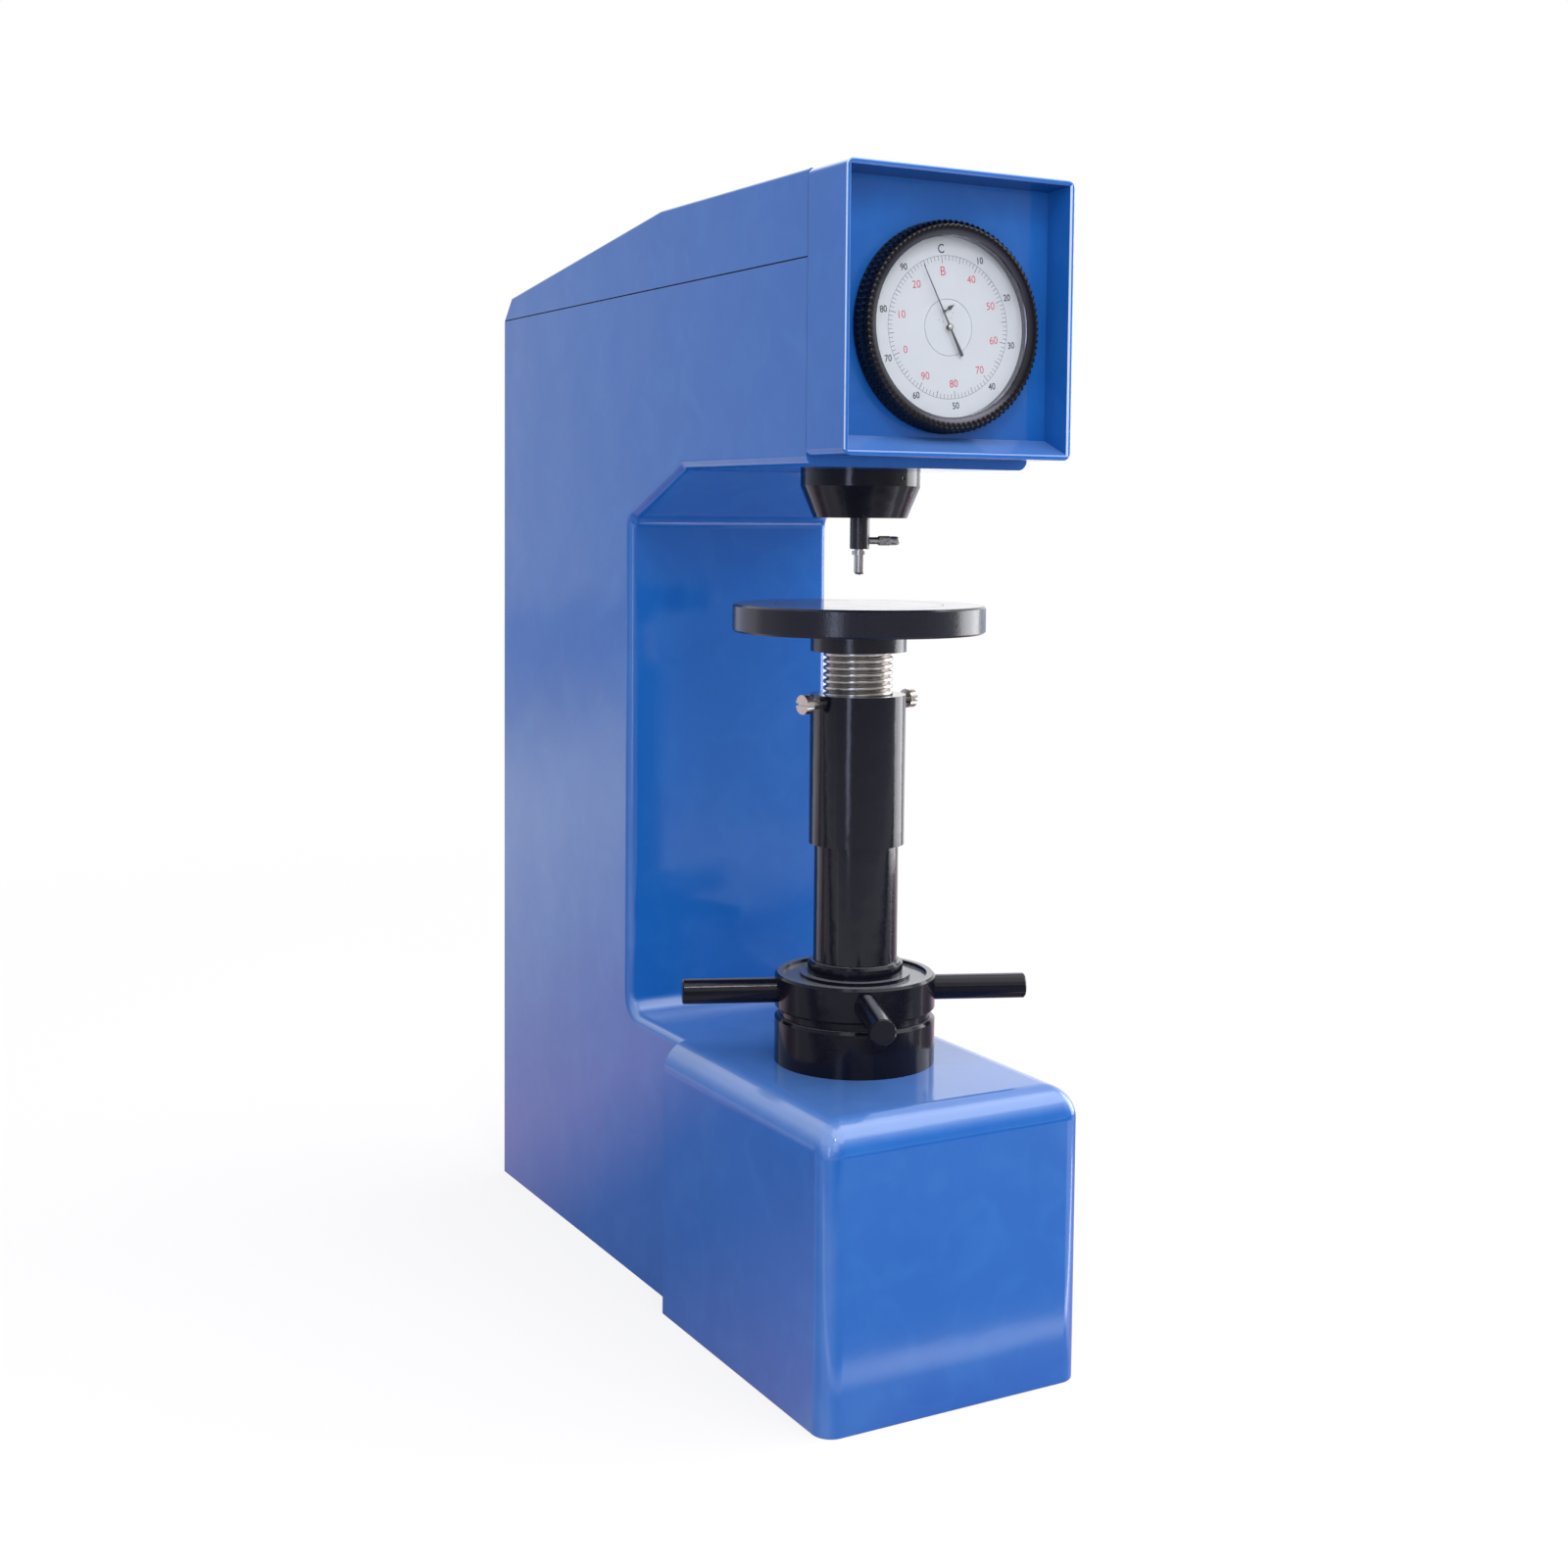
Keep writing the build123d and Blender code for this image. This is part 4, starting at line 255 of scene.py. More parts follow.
# Phenolic moulding: near black, a soft gloss, with a very slight mottle from the mould.
black_phenolic, tree, place = finish_named("black_moulded_phenolic_polished")
mottle = add(tree, "ShaderNodeTexNoise", {"Vector": place, "Scale": 1 / PHENOLIC_MOTTLE, "Detail": 2.0})
black = add(tree, "ShaderNodeMix", {
    "Factor": mottle.outputs["Fac"], "A": linear("#07070C"), "B": linear("#101018")}, data_type="RGBA")
sheen = add(tree, "ShaderNodeMapRange", {"Value": mottle.outputs["Fac"], "To Min": 0.16, "To Max": 0.34})
dimple = add(tree, "ShaderNodeBump", {"Height": mottle.outputs["Fac"], "Strength": 0.2, "Distance": 0.00004})
show(tree, add(tree, "ShaderNodeBsdfPrincipled", {
    "Base Color": black.outputs["Result"], "Roughness": sheen.outputs["Result"], "IOR": 1.55,
    "Normal": dimple.outputs["Normal"]}))

# The bezel's mouth turns to a grey metal by its distance from the axis: a painted reflection that mirrors the
# dial as a grey band round the glass.
bezel_finish, tree, place = finish_named("black_phenolic_with_painted_grey_reflection_at_mouth")
mottle = add(tree, "ShaderNodeTexNoise", {"Vector": place, "Scale": 1 / PHENOLIC_MOTTLE, "Detail": 2.0})
black = add(tree, "ShaderNodeMix", {
    "Factor": mottle.outputs["Fac"], "A": linear("#050509"), "B": linear("#0C0C13")}, data_type="RGBA")
sheen = add(tree, "ShaderNodeMapRange", {"Value": mottle.outputs["Fac"], "To Min": 0.08, "To Max": 0.2})
dimple = add(tree, "ShaderNodeBump", {"Height": mottle.outputs["Fac"], "Strength": 0.2, "Distance": 0.00004})
moulded = add(tree, "ShaderNodeBsdfPrincipled", {
    "Base Color": black.outputs["Result"], "Roughness": sheen.outputs["Result"], "IOR": 1.38,
    "Normal": dimple.outputs["Normal"]})
grey_reflection_band = add(tree, "ShaderNodeBsdfPrincipled", {
    "Base Color": linear("#6A6A74"), "Metallic": 1.0, "Roughness": 0.13, "Normal": dimple.outputs["Normal"]})
centred = add(tree, "ShaderNodeVectorMath", {0: place, 1: (0, 0, DIAL_Z * 0.001)}, operation="SUBTRACT")
across = add(tree, "ShaderNodeVectorMath", {0: centred.outputs[0], 1: (1, 0, 1)}, operation="MULTIPLY")
reach = add(tree, "ShaderNodeVectorMath", {0: across.outputs[0]}, operation="LENGTH")
# The grey band round the mouth is a painted reflection.
mouth = add(tree, "ShaderNodeMapRange", {
    "Value": reach.outputs["Value"], "From Min": 0.0532, "From Max": 0.0502, "To Min": 0.0, "To Max": 0.9})
show(tree, add(tree, "ShaderNodeMixShader", {
    0: mouth.outputs[0], 1: moulded.outputs[0], 2: grey_reflection_band.outputs[0]}))

# Section of the bezel: radius, depth, how much of a groove is cut there, and which way it is cut,
# inwards and backwards.
section = np.array([
    (50.3, -86.0, 0, 0, 0), (57.6, -86.0, 0, 0, 0), (58.1, -86.5, 0, 0, 0), (58.1, -87.6, 0, -1, 0),
    (58.1, -88.6, 1, -1, 0), (58.1, -91.6, 1, -1, 0), (58.1, -94.4, 1, -1, 0.1),
    (57.9, -95.1, 1, -0.9, 0.4), (57.0, -96.3, 1, -0.75, 0.65), (56.0, -97.5, 0.9, -0.5, 0.85),
    (55.5, -97.8, 0.75, -0.1, 1), (54.6, -97.7, 0.35, 0, 1), (53.9, -97.5, 0, 0, 0),
    (51.9, -96.8, 0, 0, 0), (49.8, -96.25, 0, 0, 0), (49.7, -96.08, 0, 0, 0), (51.5, -96.05, 0, 0, 0),
    (51.5, -94.8, 0, 0, 0), (49.7, -94.8, 0, 0, 0), (49.3, -94.4, 0, 0, 0), (49.3, -90.5, 0, 0, 0),
    (50.3, -90.5, 0, 0, 0)])
angle = np.linspace(0, 2 * np.pi, RIB_COUNT * POINTS_PER_RIB, endpoint=False)[None, :]
radius, depth, cut, inward, backward = (column[:, None] for column in section.T)
groove = RIB_DEPTH * cut * np.abs(np.cos(RIB_COUNT / 2 * angle)) ** 1.6
bezel_ribbed = surface(
    "bezel_ribbed", round_dial(radius + groove * inward, depth + groove * backward, angle),
    bezel_finish, closed=True)
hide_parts("bezel")
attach(bezel_ribbed, "bezel")

# Stove-enamelled dial plates: a cool off-white with a satin face.
dial_enamel, tree, place = finish_named("white_stoved_dial_enamel_satin")
cloud = add(tree, "ShaderNodeTexNoise", {"Vector": place, "Scale": 1 / 0.012, "Detail": 2.0})
white = add(tree, "ShaderNodeMix", {
    "Factor": cloud.outputs["Fac"], "A": linear("#C5C6CB"), "B": linear("#CCCDD2")}, data_type="RGBA")
show(tree, add(tree, "ShaderNodeBsdfPrincipled", {
    "Base Color": white.outputs["Result"], "Roughness": 0.38, "IOR": 1.5}))
dress(dial_enamel, "dial_ring", "dial_centre")
dress(plated_steel, "gauge_case")


def print_ink(name, dark, light):
    """Screen-printed ink: its tone breaks up a little at a third of a millimetre."""
    material, tree, place = finish_named(name)
    grain = add(tree, "ShaderNodeTexNoise", {"Vector": place, "Scale": 1 / 0.0003, "Detail": 1.0})
    tone = add(tree, "ShaderNodeMix", {
        "Factor": grain.outputs["Fac"], "A": linear(dark), "B": linear(light)}, data_type="RGBA")
    show(tree, add(tree, "ShaderNodeBsdfPrincipled", {
        "Base Color": tone.outputs["Result"], "Roughness": 0.45}))
    return material


black_ink = print_ink("black_screen_printed_ink", "#202028", "#34343C")
red_ink = print_ink("red_screen_printed_ink", "#C02A42", "#CE3E56")
grey_ink = print_ink("grey_screen_printed_ink", "#565662", "#6C6C78")


INK_FACE = DIAL_FACE - 0.03


def printed(name, outlines, material, body):
    """Flat printed marks. Each outline is an array of points across and up the dial in millimetres,
    and becomes one face just in front of it."""
    flat = np.concatenate(outlines)
    points = np.stack([flat[:, 0], np.full(len(flat), INK_FACE), DIAL_Z + flat[:, 1]], -1) * 0.001
    starts = np.cumsum([0] + [len(outline) for outline in outlines])
    faces = [list(range(a, b)) for a, b in zip(starts[:-1], starts[1:])]
    piece = put_together(name, points.tolist(), faces, material)
    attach(piece, body)
    return piece


def polar(radius, degrees):
    """Point across and up the dial at a radius and a clockwise angle from the top."""
    turn = np.radians(degrees)
    return np.stack([radius * np.sin(turn), radius * np.cos(turn)], -1)


# A hundred divisions hang inwards from a fine ring, longer at every fifth and tenth.
DIVISIONS = 100
TICK_RADIUS = 39.0
RING_HALF = 0.12
ticks = []
for division in range(DIVISIONS):
    length = 4.2 if division % 10 == 0 else 3.5 if division % 5 == 0 else 2.6
    half = 0.21 if division % 5 == 0 else 0.16
    along = polar(1.0, division * 360 / DIVISIONS + RING_TURN)
    across = np.array([along[1], -along[0]])
    ticks.append(np.array([
        along * TICK_RADIUS + across * half, along * (TICK_RADIUS - length) + across * half,
        along * (TICK_RADIUS - length) - across * half, along * TICK_RADIUS - across * half]))
for step in range(0, 360, 3):
    ends = np.array([step, step + 3.0])
    ticks.append(np.concatenate([
        polar(TICK_RADIUS + RING_HALF, ends), polar(TICK_RADIUS - RING_HALF, ends[::-1])]))
printed("dial_divisions", ticks, grey_ink, "bezel")


CAPITAL_SHARE = 0.7  # of the face's size, the height of a figure


def lettered(name, words, radius, height, stretch, material, weight=0.0):
    """Upright figures round the dial, each word centred at a radius and turned with the ring. They
    are cut from the plain built-in face, made a mesh, and set a hair in front of the enamel."""
    corners, faces = [], []
    turned = Matrix.Rotation(math.radians(-RING_TURN), 3, "Z")
    for word, degrees, scale in words:
        curve = bpy.data.curves.new(name, "FONT")
        curve.body = word
        curve.size = height * scale / CAPITAL_SHARE
        curve.offset = weight
        curve.resolution_u = 4
        curve.align_x = "CENTER"
        text = bpy.data.objects.new(name, curve)
        bpy.context.scene.collection.objects.link(text)
        bpy.context.view_layer.update()
        cut = bpy.data.meshes.new_from_object(text.evaluated_get(bpy.context.evaluated_depsgraph_get()))
        bpy.data.objects.remove(text)
        flat = np.array([vertex.co for vertex in cut.vertices])[:, :2]
        flat = (flat - (flat.min(0) + flat.max(0)) / 2) * (stretch, 1)
        flat = flat @ np.array(turned)[:2, :2].T + polar(radius, degrees + RING_TURN)
        faces += [[corner + len(corners) for corner in polygon.vertices] for polygon in cut.polygons]
        corners += [(x * 0.001, INK_FACE * 0.001, (DIAL_Z + y) * 0.001) for x, y in flat]
    piece = put_together(name, corners, faces, material)
    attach(piece, "bezel")
    return piece


black_words = [("C", 0, 1.35)] + [(str(10 * step), 36 * step, 1.0) for step in range(1, 10)]
red_words = [("B", 0, 1.2)] + [(str((30 + 10 * step) % 100), 36 * step, 1.0) for step in range(1, 10)]
lettered("dial_black_figures", black_words, 42.8, 3.6, 0.9, black_ink, 0.1)
lettered("dial_red_figures", red_words, 30.7, 4.2, 0.95, red_ink)

# The small counter behind the needle: a few fine marks round its staff on the fixed centre plate.
COUNTER_STAFF = np.array([-3.0, 8.6])
COUNTER_OUT, COUNTER_IN, COUNTER_HALF = 6.2, 5.2, 0.14
counter = []
for degrees in (95, 125, 155, 185, 215):
    along = polar(1.0, degrees)
    across = np.array([along[1], -along[0]]) * COUNTER_HALF
    outer, inner = COUNTER_STAFF + along * COUNTER_OUT, COUNTER_STAFF + along * COUNTER_IN
    counter.append(np.array([outer + across, inner + across, inner - across, outer - across]))
printed("counter_marks", counter, grey_ink, "frame")

# Hands stamped from thin steel and blackened.
hand_black, tree, place = finish_named("matt_black_lacquered_hand")
fleck = add(tree, "ShaderNodeTexNoise", {"Vector": place, "Scale": 1 / 0.0008})
soot = add(tree, "ShaderNodeMix", {
    "Factor": fleck.outputs["Fac"], "A": linear("#1C1C22"), "B": linear("#303038")}, data_type="RGBA")
show(tree, add(tree, "ShaderNodeBsdfPrincipled", {"Base Color": soot.outputs["Result"], "Roughness": 0.5}))
dress(hand_black, "small_pointer")

# The needle is 0.4 mm sheet: a fine arm, a round eye and a broader tail that balances it. Half its
# outline is half-width and reach, and the other half mirrors it.
NEEDLE_TURN = -28.0
NEEDLE_BACK, NEEDLE_FRONT = -92.2, -92.6
eye = np.radians(np.linspace(14, 166, 12))
half_arm = np.array([(0.12, 37.4), (0.4, 2.0)])
half_eye = np.stack([1.9 * np.sin(eye), 1.9 * np.cos(eye)], -1)
half_tail = np.array([(0.45, -2.0), (0.98, -17.1), (0.7, -17.4)])
half_needle = np.concatenate([half_arm, half_eye, half_tail])
needle_outline = np.concatenate([half_needle, half_needle[::-1] * (-1, 1)])
turn = math.radians(NEEDLE_TURN)
across = needle_outline[:, 0] * math.cos(turn) + needle_outline[:, 1] * math.sin(turn)
rise = needle_outline[:, 1] * math.cos(turn) - needle_outline[:, 0] * math.sin(turn)
needle = surface("needle", np.stack([
    np.stack([across, np.full(len(across), depth), DIAL_Z + rise], -1)
    for depth in (NEEDLE_BACK, NEEDLE_FRONT)]), hand_black)
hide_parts("pointer")
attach(needle, "pointer")

# Its staff ends in a small bright cap.
angle = np.linspace(0, 2 * np.pi, 48, endpoint=False)[None, :]
staff = np.array([(1.15, -87.0), (1.15, -92.3), (1.3, -92.65), (1.3, -92.9), (1.15, -93.0)])
needle_cap = surface("needle_cap", round_dial(staff[:, :1], staff[:, 1:], angle), plated_steel)
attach(needle_cap, "pointer")

# Drawn sheet glass: clear, lets light through to the dial, faint smears in its polish.
dial_glass, tree, place = finish_named("clear_drawn_dial_glass")
smear = add(tree, "ShaderNodeTexNoise", {"Vector": place, "Scale": 1 / 0.03, "Detail": 2.0})
wipe = add(tree, "ShaderNodeMapRange", {"Value": smear.outputs["Fac"], "To Min": 0.0, "To Max": 0.03})
clear = add(tree, "ShaderNodeBsdfPrincipled", {
    "Base Color": linear("#FBFDFE"), "Transmission Weight": 1.0,
    "Roughness": wipe.outputs["Result"], "IOR": 1.45})
passing = add(tree, "ShaderNodeBsdfTransparent", {"Color": linear("#FAFCFD")})
ray = add(tree, "ShaderNodeLightPath")
show(tree, add(tree, "ShaderNodeMixShader", {
    0: ray.outputs["Is Shadow Ray"], 1: clear.outputs[0], 2: passing.outputs[0]}))
dress(dial_glass, "dial_glass")


# ==== Seam shade strips ===========================================================================
# Black strips lie in the open lines round the lid and behind the hood as painted shade, so the seams read
# dark. Each is a flat loop with rounded corners, pressed in a hair under the paint.
seam_shade_black, tree, place = finish_named("black_strip_painting_seam_shade")
talc = add(tree, "ShaderNodeTexNoise", {"Vector": place, "Scale": 1 / 0.002, "Detail": 2.0})
soft = add(tree, "ShaderNodeMix", {
    "Factor": talc.outputs["Fac"], "A": linear("#090A12"), "B": linear("#12141F")}, data_type="RGBA")
show(tree, add(tree, "ShaderNodeBsdfPrincipled", {
    "Base Color": soft.outputs["Result"], "Roughness": 0.8, "IOR": 1.35}))


def round_box(left, right, low, high, radius):
    """Points round a rectangle with quarter-circle corners: each corner's centre plus r cos, r sin."""
    quarter = np.linspace(0, np.pi / 2, 9)
    middles = [(right - radius, high - radius), (left + radius, high - radius),
               (left + radius, low + radius), (right - radius, low + radius)]
    corners = [np.stack([x + radius * np.cos(quarter + k * np.pi / 2),
                         y + radius * np.sin(quarter + k * np.pi / 2)], -1)
               for k, (x, y) in enumerate(middles)]
    return np.concatenate(corners)


# Faces of the strip from each line's start, 0.02 mm clear of both sides of the 0.8 mm gap.
NEAR_FACE, FAR_FACE = 0.02, 0.78
HOOD_HALF, HOOD_LOW, HOOD_HIGH, HOOD_BACK = 74.3, 528.6, 684.1, -64.2
HOOD_UNDER, STRIP_INNER = 0.3, 1.4
outer, inner = (
    round_box(-HOOD_HALF + under, HOOD_HALF - under, HOOD_LOW + under, HOOD_HIGH - under, radius)
    for under, radius in ((HOOD_UNDER, 4.2), (STRIP_INNER, 3.1)))
hood_seam_shade_strip = surface("hood_seam_shade_strip", np.stack([
    np.stack([loop[:, 0], np.full(len(loop), HOOD_BACK - face), loop[:, 1]], -1)
    for loop, face in ((outer, NEAR_FACE), (outer, FAR_FACE), (inner, FAR_FACE), (inner, NEAR_FACE))
]), seam_shade_black, closed=True)
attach(hood_seam_shade_strip, "frame")

SEAM_Z, SIDE, REAR = 636.2, 73.7, 385.85
SEAM_UNDER = 0.25
outer = round_box(-SIDE + SEAM_UNDER, SIDE - SEAM_UNDER, -64.0, REAR - SEAM_UNDER, 1.8)
inner = round_box(-SIDE + STRIP_INNER, SIDE - STRIP_INNER, -62.9, REAR - STRIP_INNER, 0.7)
lid_seam_shade_strip = surface("lid_seam_shade_strip", np.stack([
    np.stack([loop[:, 0], loop[:, 1], np.full(len(loop), SEAM_Z + face)], -1)
    for loop, face in ((outer, NEAR_FACE), (outer, FAR_FACE), (inner, FAR_FACE), (inner, NEAR_FACE))
]), seam_shade_black, closed=True)
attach(lid_seam_shade_strip, "frame")


# ==== Nose cone, spindle and indenter =============================================================
# A turned cone hides the spindle's bronze bush. The blackened spindle holds the indenter's shank,
# and a knurled thumb screw clamps it from the side.
def jet_enamel(name, ior):
    """Black stoving enamel with soft runs and fine pimples, and a pale film where it faces up, partly dirt
    and partly a painted sheen.
    """
    material, tree, place = finish_named(name)
    nap = add(tree, "ShaderNodeTexNoise", {"Vector": place, "Scale": 1 / 0.0016, "Detail": 3.0})
    jet = add(tree, "ShaderNodeMix", {
        "Factor": nap.outputs["Fac"], "A": linear("#0B0B14"), "B": linear("#141420")}, data_type="RGBA")
    lustre = add(tree, "ShaderNodeMapRange", {"Value": nap.outputs["Fac"], "To Min": 0.07, "To Max": 0.2})
    up = add(tree, "ShaderNodeSeparateXYZ", {"Vector": add(tree, "ShaderNodeTexCoord").outputs["Normal"]})
    lying = add(tree, "ShaderNodeMapRange", {
        "Value": up.outputs["Z"], "From Min": 0.93, "From Max": 1.0, "To Min": 0.0, "To Max": 0.3})
    # What faces up turns pale here: partly dirt, partly a painted sheen of light from above.
    filmed_and_sheened = add(tree, "ShaderNodeMix", {
        "Factor": lying.outputs[0], "A": jet.outputs["Result"], "B": linear("#A4A8B4")}, data_type="RGBA")
    roll = add(tree, "ShaderNodeTexNoise", {"Vector": place, "Scale": 1 / 0.012, "Detail": 1.0})
    flow = add(tree, "ShaderNodeBump", {"Height": roll.outputs["Fac"], "Strength": 0.35, "Distance": 0.0004})
    pimple = add(tree, "ShaderNodeBump", {
        "Height": nap.outputs["Fac"], "Strength": 0.35, "Distance": 0.00008,
        "Normal": flow.outputs["Normal"]})
    show(tree, add(tree, "ShaderNodeBsdfPrincipled", {
        "Base Color": filmed_and_sheened.outputs["Result"], "Roughness": lustre.outputs["Result"], "IOR": ior,
        "Normal": pimple.outputs["Normal"]}))
    return material


gloss_black = jet_enamel("gloss_black_stoving_enamel", ior=1.42)
dress(gloss_black, "nose_cone")

# A grub screw with a hexagon socket locks the cone, standing 0.4 mm out of its rim. Its section is
# radius, reach out of the rim, and how far the round turns into the hexagon there.
GRUB_HEADING, GRUB_Z, CONE_RIM = math.radians(-77.0), 518.4, 35.5
out = np.array([math.cos(GRUB_HEADING), math.sin(GRUB_HEADING), 0])
side = np.array([-out[1], out[0], 0])
angle = np.linspace(0, 2 * np.pi, 36, endpoint=False)[None, :]
hexagon = 1 / np.cos((angle + np.pi / 6) % (np.pi / 3) - np.pi / 6)
grub = np.array([
    (1.8, -1.5, 0), (1.8, 0.2, 0), (1.6, 0.4, 0), (1.1, 0.4, 0), (0.95, 0.35, 1), (0.95, -0.9, 1)])
radius = grub[:, :1] * (1 + grub[:, 2:] * (hexagon - 1))
along = CONE_RIM + grub[:, 1:2] + 0 * angle
turned = (along[..., None] * out + (radius * np.cos(angle))[..., None] * side
          + (radius * np.sin(angle))[..., None] * np.array([0, 0, 1]) + np.array([0, 0, GRUB_Z]))
cone_grub_screw = surface("cone_grub_screw", turned, black_phenolic)
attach(cone_grub_screw, "frame")

# Turned steel chemically blackened and oiled: the tool marks still ring it every 0.35 mm.
TOOL_MARK = 0.00035
black_oxide, tree, place = finish_named("black_oxide_turned_steel_oiled")
height = add(tree, "ShaderNodeSeparateXYZ", {"Vector": place})
rings = add(tree, "ShaderNodeMath", {
    0: height.outputs["Z"], 1: 2 * math.pi / TOOL_MARK}, operation="MULTIPLY")
ridge = add(tree, "ShaderNodeMath", {0: rings.outputs[0]}, operation="SINE")
tooled = add(tree, "ShaderNodeBump", {"Height": ridge.outputs[0], "Strength": 0.12, "Distance": 0.00003})
stain = add(tree, "ShaderNodeTexNoise", {"Vector": place, "Scale": 1 / 0.004, "Detail": 4.0})
oxide = add(tree, "ShaderNodeMix", {
    "Factor": stain.outputs["Fac"], "A": linear("#0D0D16"), "B": linear("#1C1C28")}, data_type="RGBA")
oiled = add(tree, "ShaderNodeMapRange", {"Value": stain.outputs["Fac"], "To Min": 0.18, "To Max": 0.34})
show(tree, add(tree, "ShaderNodeBsdfPrincipled", {
    "Base Color": oxide.outputs["Result"], "Roughness": oiled.outputs["Result"], "IOR": 1.6,
    "Normal": tooled.outputs["Normal"]}))
dress(black_oxide, "spindle")

# Centrifugally cast bronze, bored and reamed.
bronze, tree, place = finish_named("cast_bearing_bronze_machined")
cast = add(tree, "ShaderNodeTexNoise", {"Vector": place, "Scale": 1 / 0.003, "Detail": 4.0})
gold = add(tree, "ShaderNodeMix", {
    "Factor": cast.outputs["Fac"], "A": linear("#8C6A35"), "B": linear("#B58C4C")}, data_type="RGBA")
cuts = add(tree, "ShaderNodeBump", {"Height": cast.outputs["Fac"], "Strength": 0.3, "Distance": 0.00005})
show(tree, add(tree, "ShaderNodeBsdfPrincipled", {
    "Base Color": gold.outputs["Result"], "Metallic": 1.0, "Roughness": 0.36,
    "Normal": cuts.outputs["Normal"]}))
dress(bronze, "spindle_bush")

# Ground and lapped tool steel: fine rings from the wheel, 0.25 mm apart as far as the eye sees.
WHEEL_MARK = 0.00025
ground_steel, tree, place = finish_named("ground_and_lapped_tool_steel")
height = add(tree, "ShaderNodeSeparateXYZ", {"Vector": place})
rings = add(tree, "ShaderNodeMath", {
    0: height.outputs["Z"], 1: 2 * math.pi / WHEEL_MARK}, operation="MULTIPLY")
ridge = add(tree, "ShaderNodeMath", {0: rings.outputs[0]}, operation="SINE")
lapped = add(tree, "ShaderNodeBump", {"Height": ridge.outputs[0], "Strength": 0.08, "Distance": 0.00002})
patina = add(tree, "ShaderNodeTexNoise", {"Vector": place, "Scale": 1 / 0.005, "Detail": 4.0})
steel = add(tree, "ShaderNodeMix", {
    "Factor": patina.outputs["Fac"], "A": linear("#ACA8A4"), "B": linear("#D6D2CC")}, data_type="RGBA")
polish = add(tree, "ShaderNodeMapRange", {"Value": patina.outputs["Fac"], "To Min": 0.16, "To Max": 0.32})
show(tree, add(tree, "ShaderNodeBsdfPrincipled", {
    "Base Color": steel.outputs["Result"], "Metallic": 1.0, "Roughness": polish.outputs["Result"],
    "Normal": lapped.outputs["Normal"]}))
dress(ground_steel, "indenter_body", "indenter_cap", "indenter_ball", "gauge_plunger")

# The thumb screw's grip carries a diamond knurl between two chamfers and ends in a plain nose.
GRIP_RADIUS = 2.85
GRIP_TEETH = 26
KNURL_DEPTH = 0.16
KNURL_LEAD = 1.3
SCREW_HEADING = math.radians(-17.0)
SCREW_Z = 482.0
neck = np.array([(2.1, 3.3), (2.1, 10.9), (2.3, 11.0), (2.7, 11.6)])
knurl = np.stack([np.full(49, GRIP_RADIUS), np.linspace(11.9, 18.3, 49)], -1)
nose = np.array([(2.55, 18.7), (2.55, 19.0), (2.7, 19.2), (2.65, 22.4), (2.2, 23.6), (1.7, 24.0)])
profile = np.concatenate([neck, knurl, nose])
angle = np.linspace(0, 2 * np.pi, GRIP_TEETH * 4, endpoint=False)[None, :]
radius, along = profile[:, :1], profile[:, 1:]
lead = along * np.pi * KNURL_LEAD
diamonds = np.abs(np.sin(GRIP_TEETH / 2 * angle + lead)) + np.abs(np.sin(GRIP_TEETH / 2 * angle - lead))
in_knurl = (radius == GRIP_RADIUS).astype(float)
radius = radius - KNURL_DEPTH * in_knurl * (2 - diamonds)
out = np.array([math.cos(SCREW_HEADING), math.sin(SCREW_HEADING), 0])
side = np.array([-out[1], out[0], 0])
radius, along, angle = np.broadcast_arrays(radius, along, angle)
grip = (along[..., None] * out + (radius * np.cos(angle))[..., None] * side
        + (radius * np.sin(angle))[..., None] * np.array([0, 0, 1]) + np.array([0, 0, SCREW_Z]))

# Dull nickel, darker in random patches of oil.
dull_nickel, tree, place = finish_named("dull_nickel_plated_knurled_steel")
oil = add(tree, "ShaderNodeTexNoise", {"Vector": place, "Scale": 1 / 0.0015, "Detail": 3.0})
nickel = add(tree, "ShaderNodeMix", {
    "Factor": oil.outputs["Fac"], "A": linear("#A8A29E"), "B": linear("#D2CCC8")}, data_type="RGBA")
show(tree, add(tree, "ShaderNodeBsdfPrincipled", {
    "Base Color": nickel.outputs["Result"], "Metallic": 1.0, "Roughness": 0.34}))
thumb_screw_knurled = surface("thumb_screw_knurled", grip, dull_nickel)
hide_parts("thumb_screw")
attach(thumb_screw_knurled, "spindle")


# ==== Anvil =======================================================================================
# A flat round plate of hardened steel. Its rim and underside are black enamelled, its top is ground
# and lapped nearly to a mirror, with two fine locating rings cut in it.
ANVIL_TOP = 444.4
LAPPING_MARK = 0.0006
anvil_steel, tree, place = finish_named("black_enamelled_rim_with_lapped_steel_top")
height = add(tree, "ShaderNodeSeparateXYZ", {"Vector": place})
on_top = add(tree, "ShaderNodeMath", {
    0: height.outputs["Z"], 1: (ANVIL_TOP - 0.02) * 0.001}, operation="GREATER_THAN")
spread = add(tree, "ShaderNodeVectorMath", {0: place, 1: (1.0, 1.0, 0.0)}, operation="MULTIPLY")
from_axis = add(tree, "ShaderNodeVectorMath", {0: spread.outputs[0]}, operation="LENGTH")
turns = add(tree, "ShaderNodeMath", {
    0: from_axis.outputs["Value"], 1: 2 * math.pi / LAPPING_MARK}, operation="MULTIPLY")
circles = add(tree, "ShaderNodeMath", {0: turns.outputs[0]}, operation="SINE")
lay = add(tree, "ShaderNodeBump", {"Height": circles.outputs[0], "Strength": 0.05, "Distance": 0.00002})
wear = add(tree, "ShaderNodeTexNoise", {"Vector": place, "Scale": 1 / 0.02, "Detail": 4.0})
face = add(tree, "ShaderNodeMix", {
    "Factor": wear.outputs["Fac"], "A": linear("#8A8A90"), "B": linear("#A2A2A8")}, data_type="RGBA")
